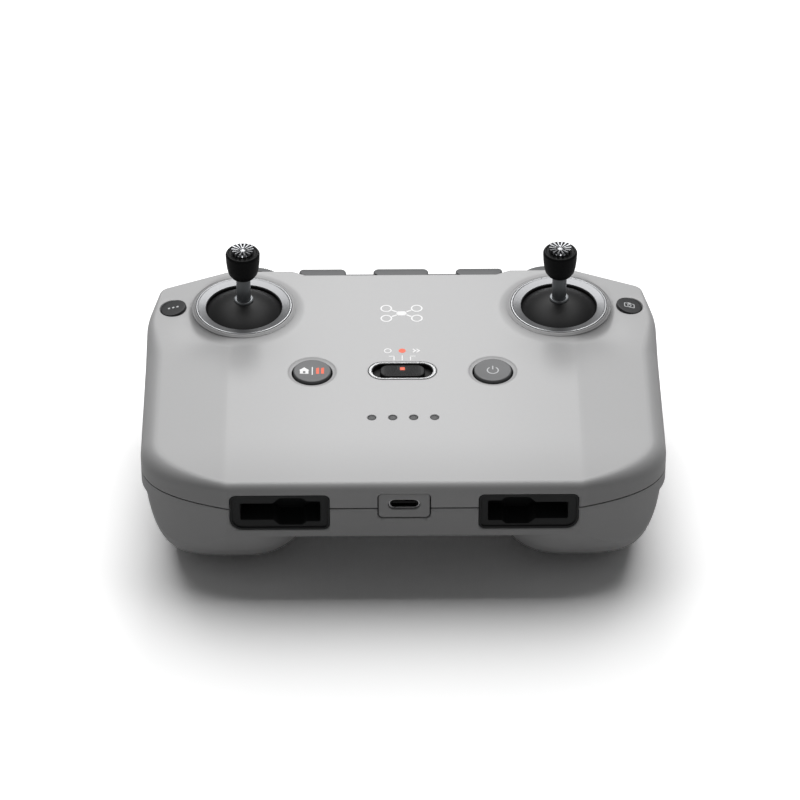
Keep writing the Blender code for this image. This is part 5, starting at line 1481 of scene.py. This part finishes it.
@dataclass(frozen=True)
class PortBezel:
    """The plate round the USB-C opening."""

    shells: Shells

    def build(self) -> None:
        """Build the plate with its slot-shaped opening and soft edges."""
        low, high = span("usb_port_bezel")
        port = middle("usb_c_shell")
        outline = spaced(rectangle((low[0], low[2]), (high[0], high[2]), 1.3, 8), 1.0)
        hole = stadium(4.55, 1.72, (port[0], port[2]))
        Surface().plate(outline, high[1], low[1] + 0.05, [hole], Facing.FRONT.place, 0.28).piece(
            "port_bezel_plate", DARK_SHELL, "housing", "dark_shell", ["usb_port_bezel"], sharp=40)
        back = stadium(4.7, 1.9, (port[0], port[2]))
        Surface().plate(back, port[1] + 3.9, port[1] + 3.4, place=Facing.FRONT.place).piece(
            "port_shade", SHADE, "housing", "pocket")


# ----------------------------------------------------------------------------------------------
# Far side


@dataclass(frozen=True)
class PhoneClamp:
    """The clamp's bar with its three lips."""

    edge: float = 0.45
    lip_drop: float = 0.85

    def build(self) -> None:
        """Build the bar and the lips as plates with round edges."""
        low, high = span("clamp_bar")
        surface = Surface()
        bar_top = FORM.top - 2.8
        face = rectangle((low[0], low[2]), (high[0], bar_top), 1.2, 6)
        surface.plate(spaced(face, 2.0), low[1], high[1], place=Facing.FRONT.place,
                      edge=self.edge, low_edge=0.2)
        surface.piece("clamp_bar_body", CONTROL, "phone_clamp", "control", ["clamp_bar"], sharp=40)
        lips = Surface()
        start = FORM.back - 1.8
        for near, far in ((-31.2, -16.4), (-8.2, 8.2), (16.4, 31.2)):
            corner = 1.6
            radii = (0.3, 0.3, corner, corner)
            left_cut = 2.0 if near < -30 else 0.0
            right_cut = 2.0 if far > 30 else 0.0
            shape = rounded([(near + left_cut, start), (far - right_cut, start),
                             (far, high[1] - 0.1), (near, high[1] - 0.1)], radii, 6)
            lips.plate(spaced(shape, 2.0), bar_top - 0.3, FORM.top - self.lip_drop, edge=self.edge)
        lips.piece("clamp_lips", CONTROL, "phone_clamp", "control", sharp=40)


@dataclass(frozen=True)
class ShoulderControls:
    """The gimbal dial and the shutter button at the far shoulders."""

    radius: float = SHOULDER_RADIUS
    ridges: int = 26

    def build(self) -> None:
        """Build both controls."""
        self.build_dial()
        self.build_shutter()

    def axis(self, side: float) -> Array:
        """The centre of a control's arc in plan."""
        return np.array([side * SHOULDER_X, FORM.back + SHOULDER_REACH - self.radius])

    def build_dial(self) -> None:
        """Build the dial: an arc-shaped band whose outer face is ridged.

        The outer radius falls by a rounded notch between the ridges, and the band is closed
        along its inner arc and its two ends.
        """
        low, high = span("gimbal_dial")
        centre = self.axis(-1.0)
        reach = math.radians(60.0)
        angle = np.linspace(-reach, reach, 420) + QUARTER
        wave = np.abs(np.sin((angle - QUARTER) * self.ridges * 1.5)) ** 0.6
        fade = 1 - smooth_step(np.abs(angle - QUARTER), reach - 0.08, reach)
        outer = self.radius - 0.32 * (1 - wave) * fade
        inner = np.full(len(angle), self.radius - 2.0)
        loop = np.concatenate([
            centre + np.stack([outer * np.cos(angle), outer * np.sin(angle)], 1),
            centre + np.stack([inner * np.cos(angle), inner * np.sin(angle)], 1)[::-1]])
        stations = [(0.5, low[2]), (0.15, low[2] + 0.06), (0.0, low[2] + 0.5),
                    (0.0, high[2] - 0.6), (0.15, high[2] - 0.16), (0.5, high[2] - 0.1)]
        surface = Surface()
        rows = []
        spin = np.arctan2(loop[:, 1] - centre[1], loop[:, 0] - centre[0])
        far = np.hypot(*(loop - centre).T)
        is_outer = np.arange(len(loop)) < len(angle)
        for inset, height in stations:
            radius = np.where(is_outer, far - inset, far)
            rows.append(Facing.UP.place(
                centre + np.stack([radius * np.cos(spin), radius * np.sin(spin)], 1), height))
        surface.grid(np.stack(rows))
        for row in (rows[0], rows[-1]):
            plan, triangles = fill(row[:, :2])
            surface.add(Facing.UP.place(plan, row[0, 2]), triangles)
        surface.piece("gimbal_dial_rim", CONTROL, "dial", "control", ["gimbal_dial"], sharp=45)

    def build_shutter(self) -> None:
        """Build the shutter button: a plate with an arc-shaped face and soft edges."""
        low, high = span("shutter_button")
        centre = self.axis(1.0)
        half = (high[0] - low[0]) / 2
        reach = math.asin(half / self.radius)
        face = arc(centre, self.radius, QUARTER - reach, QUARTER + reach, 40)
        loop = rounded(np.concatenate([face, [(low[0], low[1]), (high[0], low[1])]]), 0.5, 3)
        Surface().plate(loop, low[2] + 0.05, high[2] - 0.05, edge=0.5, low_edge=0.5).piece(
            "shutter_cap", CONTROL, "shutter", "control", ["shutter_button"], sharp=40)


def dress_nodes() -> None:
    """Give each CAD node that is still shown its finish."""
    for name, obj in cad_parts.items():
        finish = next((value for key, value in NODE_FINISHES.items() if name.startswith(key)), None)
        if finish is not None:
            obj.data.materials.clear()
            obj.data.materials.append(finish.material)


# ----------------------------------------------------------------------------------------------
# Stage


@dataclass(frozen=True)
class Stage:
    """The floor, the lights and the camera."""

    lens: float = 202.5
    pitch: float = math.radians(36.99)
    turn: float = math.radians(-0.53)
    camera_x: float = -0.7
    camera_y: float = -1049.2
    camera_z: float = 822.5

    def build(self) -> None:
        """Build all of it."""
        self.build_floor()
        self.build_lights()
        self.build_camera()

    def build_floor(self) -> None:
        """Build a pale floor that ends far outside the view."""
        half = 30.0
        mesh = bpy.data.meshes.new("floor")
        mesh.from_pydata([(-half, -half, 0), (half, -half, 0), (half, half, 0), (-half, half, 0)],
                         [], [(0, 1, 2, 3)])
        made = bpy.data.materials.new("pale_floor")
        made.use_nodes = True
        nodes = Nodes(made.node_tree)
        shader = made.node_tree.nodes["Principled BSDF"]
        shader.inputs["Roughness"].default_value = 0.9
        shader.inputs["Specular IOR Level"].default_value = 0.0
        seen = nodes.add("LightPath").outputs["Is Camera Ray"]
        tone = nodes.add("MapRange", {"Value": seen, "To Min": 0.48, "To Max": 1.3})
        colour = nodes.add("CombineColor", {0: tone.outputs[0], 1: tone.outputs[0],
                                            2: tone.outputs[0]})
        made.node_tree.links.new(colour.outputs[0], shader.inputs["Base Color"])
        mesh.materials.append(made)
        obj = bpy.data.objects.new("floor", mesh)
        bpy.context.scene.collection.objects.link(obj)

    def area(self, name: str, place: Sequence[float], aim: Sequence[float], size: float,
             power: float) -> None:
        """Hang a square area light and aim it.

        Args:
            name: the light's name.
            place: where it hangs, in metres.
            aim: the point that it faces.
            size: its side in metres.
            power: its power in watts.
        """
        light = bpy.data.lights.new(name, "AREA")
        light.shape = "SQUARE"
        light.size = size
        light.energy = power
        obj = bpy.data.objects.new(name, light)
        obj.location = place
        way = Vector(aim) - Vector(place)
        obj.rotation_euler = way.to_track_quat("-Z", "Y").to_euler()
        bpy.context.scene.collection.objects.link(obj)

    def build_lights(self) -> None:
        """Hang one large soft light above and behind, and a small one low behind."""
        self.area("overhead", (0.0, 0.62, 1.25), (0.0, 0.20, 0.0), 1.6, 25.0)
        self.area("low_behind", (0.0, 1.02, 0.82), (0.0, 0.0, 0.04), 0.26, 1.6)
        world = bpy.data.worlds.new("studio")
        world.use_nodes = True
        background = world.node_tree.nodes["Background"]
        background.inputs["Color"].default_value = (1.0, 1.0, 1.0, 1.0)
        background.inputs["Strength"].default_value = 0.09
        bpy.context.scene.world = world
        bpy.context.scene.view_settings.view_transform = "Standard"

    def build_camera(self) -> None:
        """Set the camera up: a long lens, from the front and above."""
        data = bpy.data.cameras.new("camera")
        data.lens = self.lens
        data.sensor_width = 36.0
        data.clip_end = 100.0
        obj = bpy.data.objects.new("camera", data)
        distance = -self.camera_y * MM
        obj.location = (distance * math.sin(self.turn) + self.camera_x * MM,
                        -distance * math.cos(self.turn), self.camera_z * MM)
        obj.rotation_euler = (QUARTER - self.pitch, 0.0, self.turn)
        bpy.context.scene.collection.objects.link(obj)
        bpy.context.scene.camera = obj


FORM = HousingForm.from_frame()


def main() -> None:
    """Build the whole remote and its stage."""
    logging.basicConfig(level=logging.INFO, format="%(name)s: %(message)s")
    shells = Shells(FORM)
    shells.build()
    for label, side in (("left", -1.0), ("right", 1.0)):
        StickUnit(label).build()
        StorageSlot(label, side, shells).build()
        CornerButton.on_side(side).build()
    home = RoundButton("home_pause_button", "home_button")
    power = RoundButton("power_button", "power_key")
    home.build()
    power.build()
    home_icons(home)
    power_icon(power)
    ModeSwitch().build()
    build_lights()
    build_marks()
    PortBezel(shells).build()
    PhoneClamp().build()
    ShoulderControls().build()
    dress_nodes()
    Stage().build()


if __name__ == "__main__":
    main()
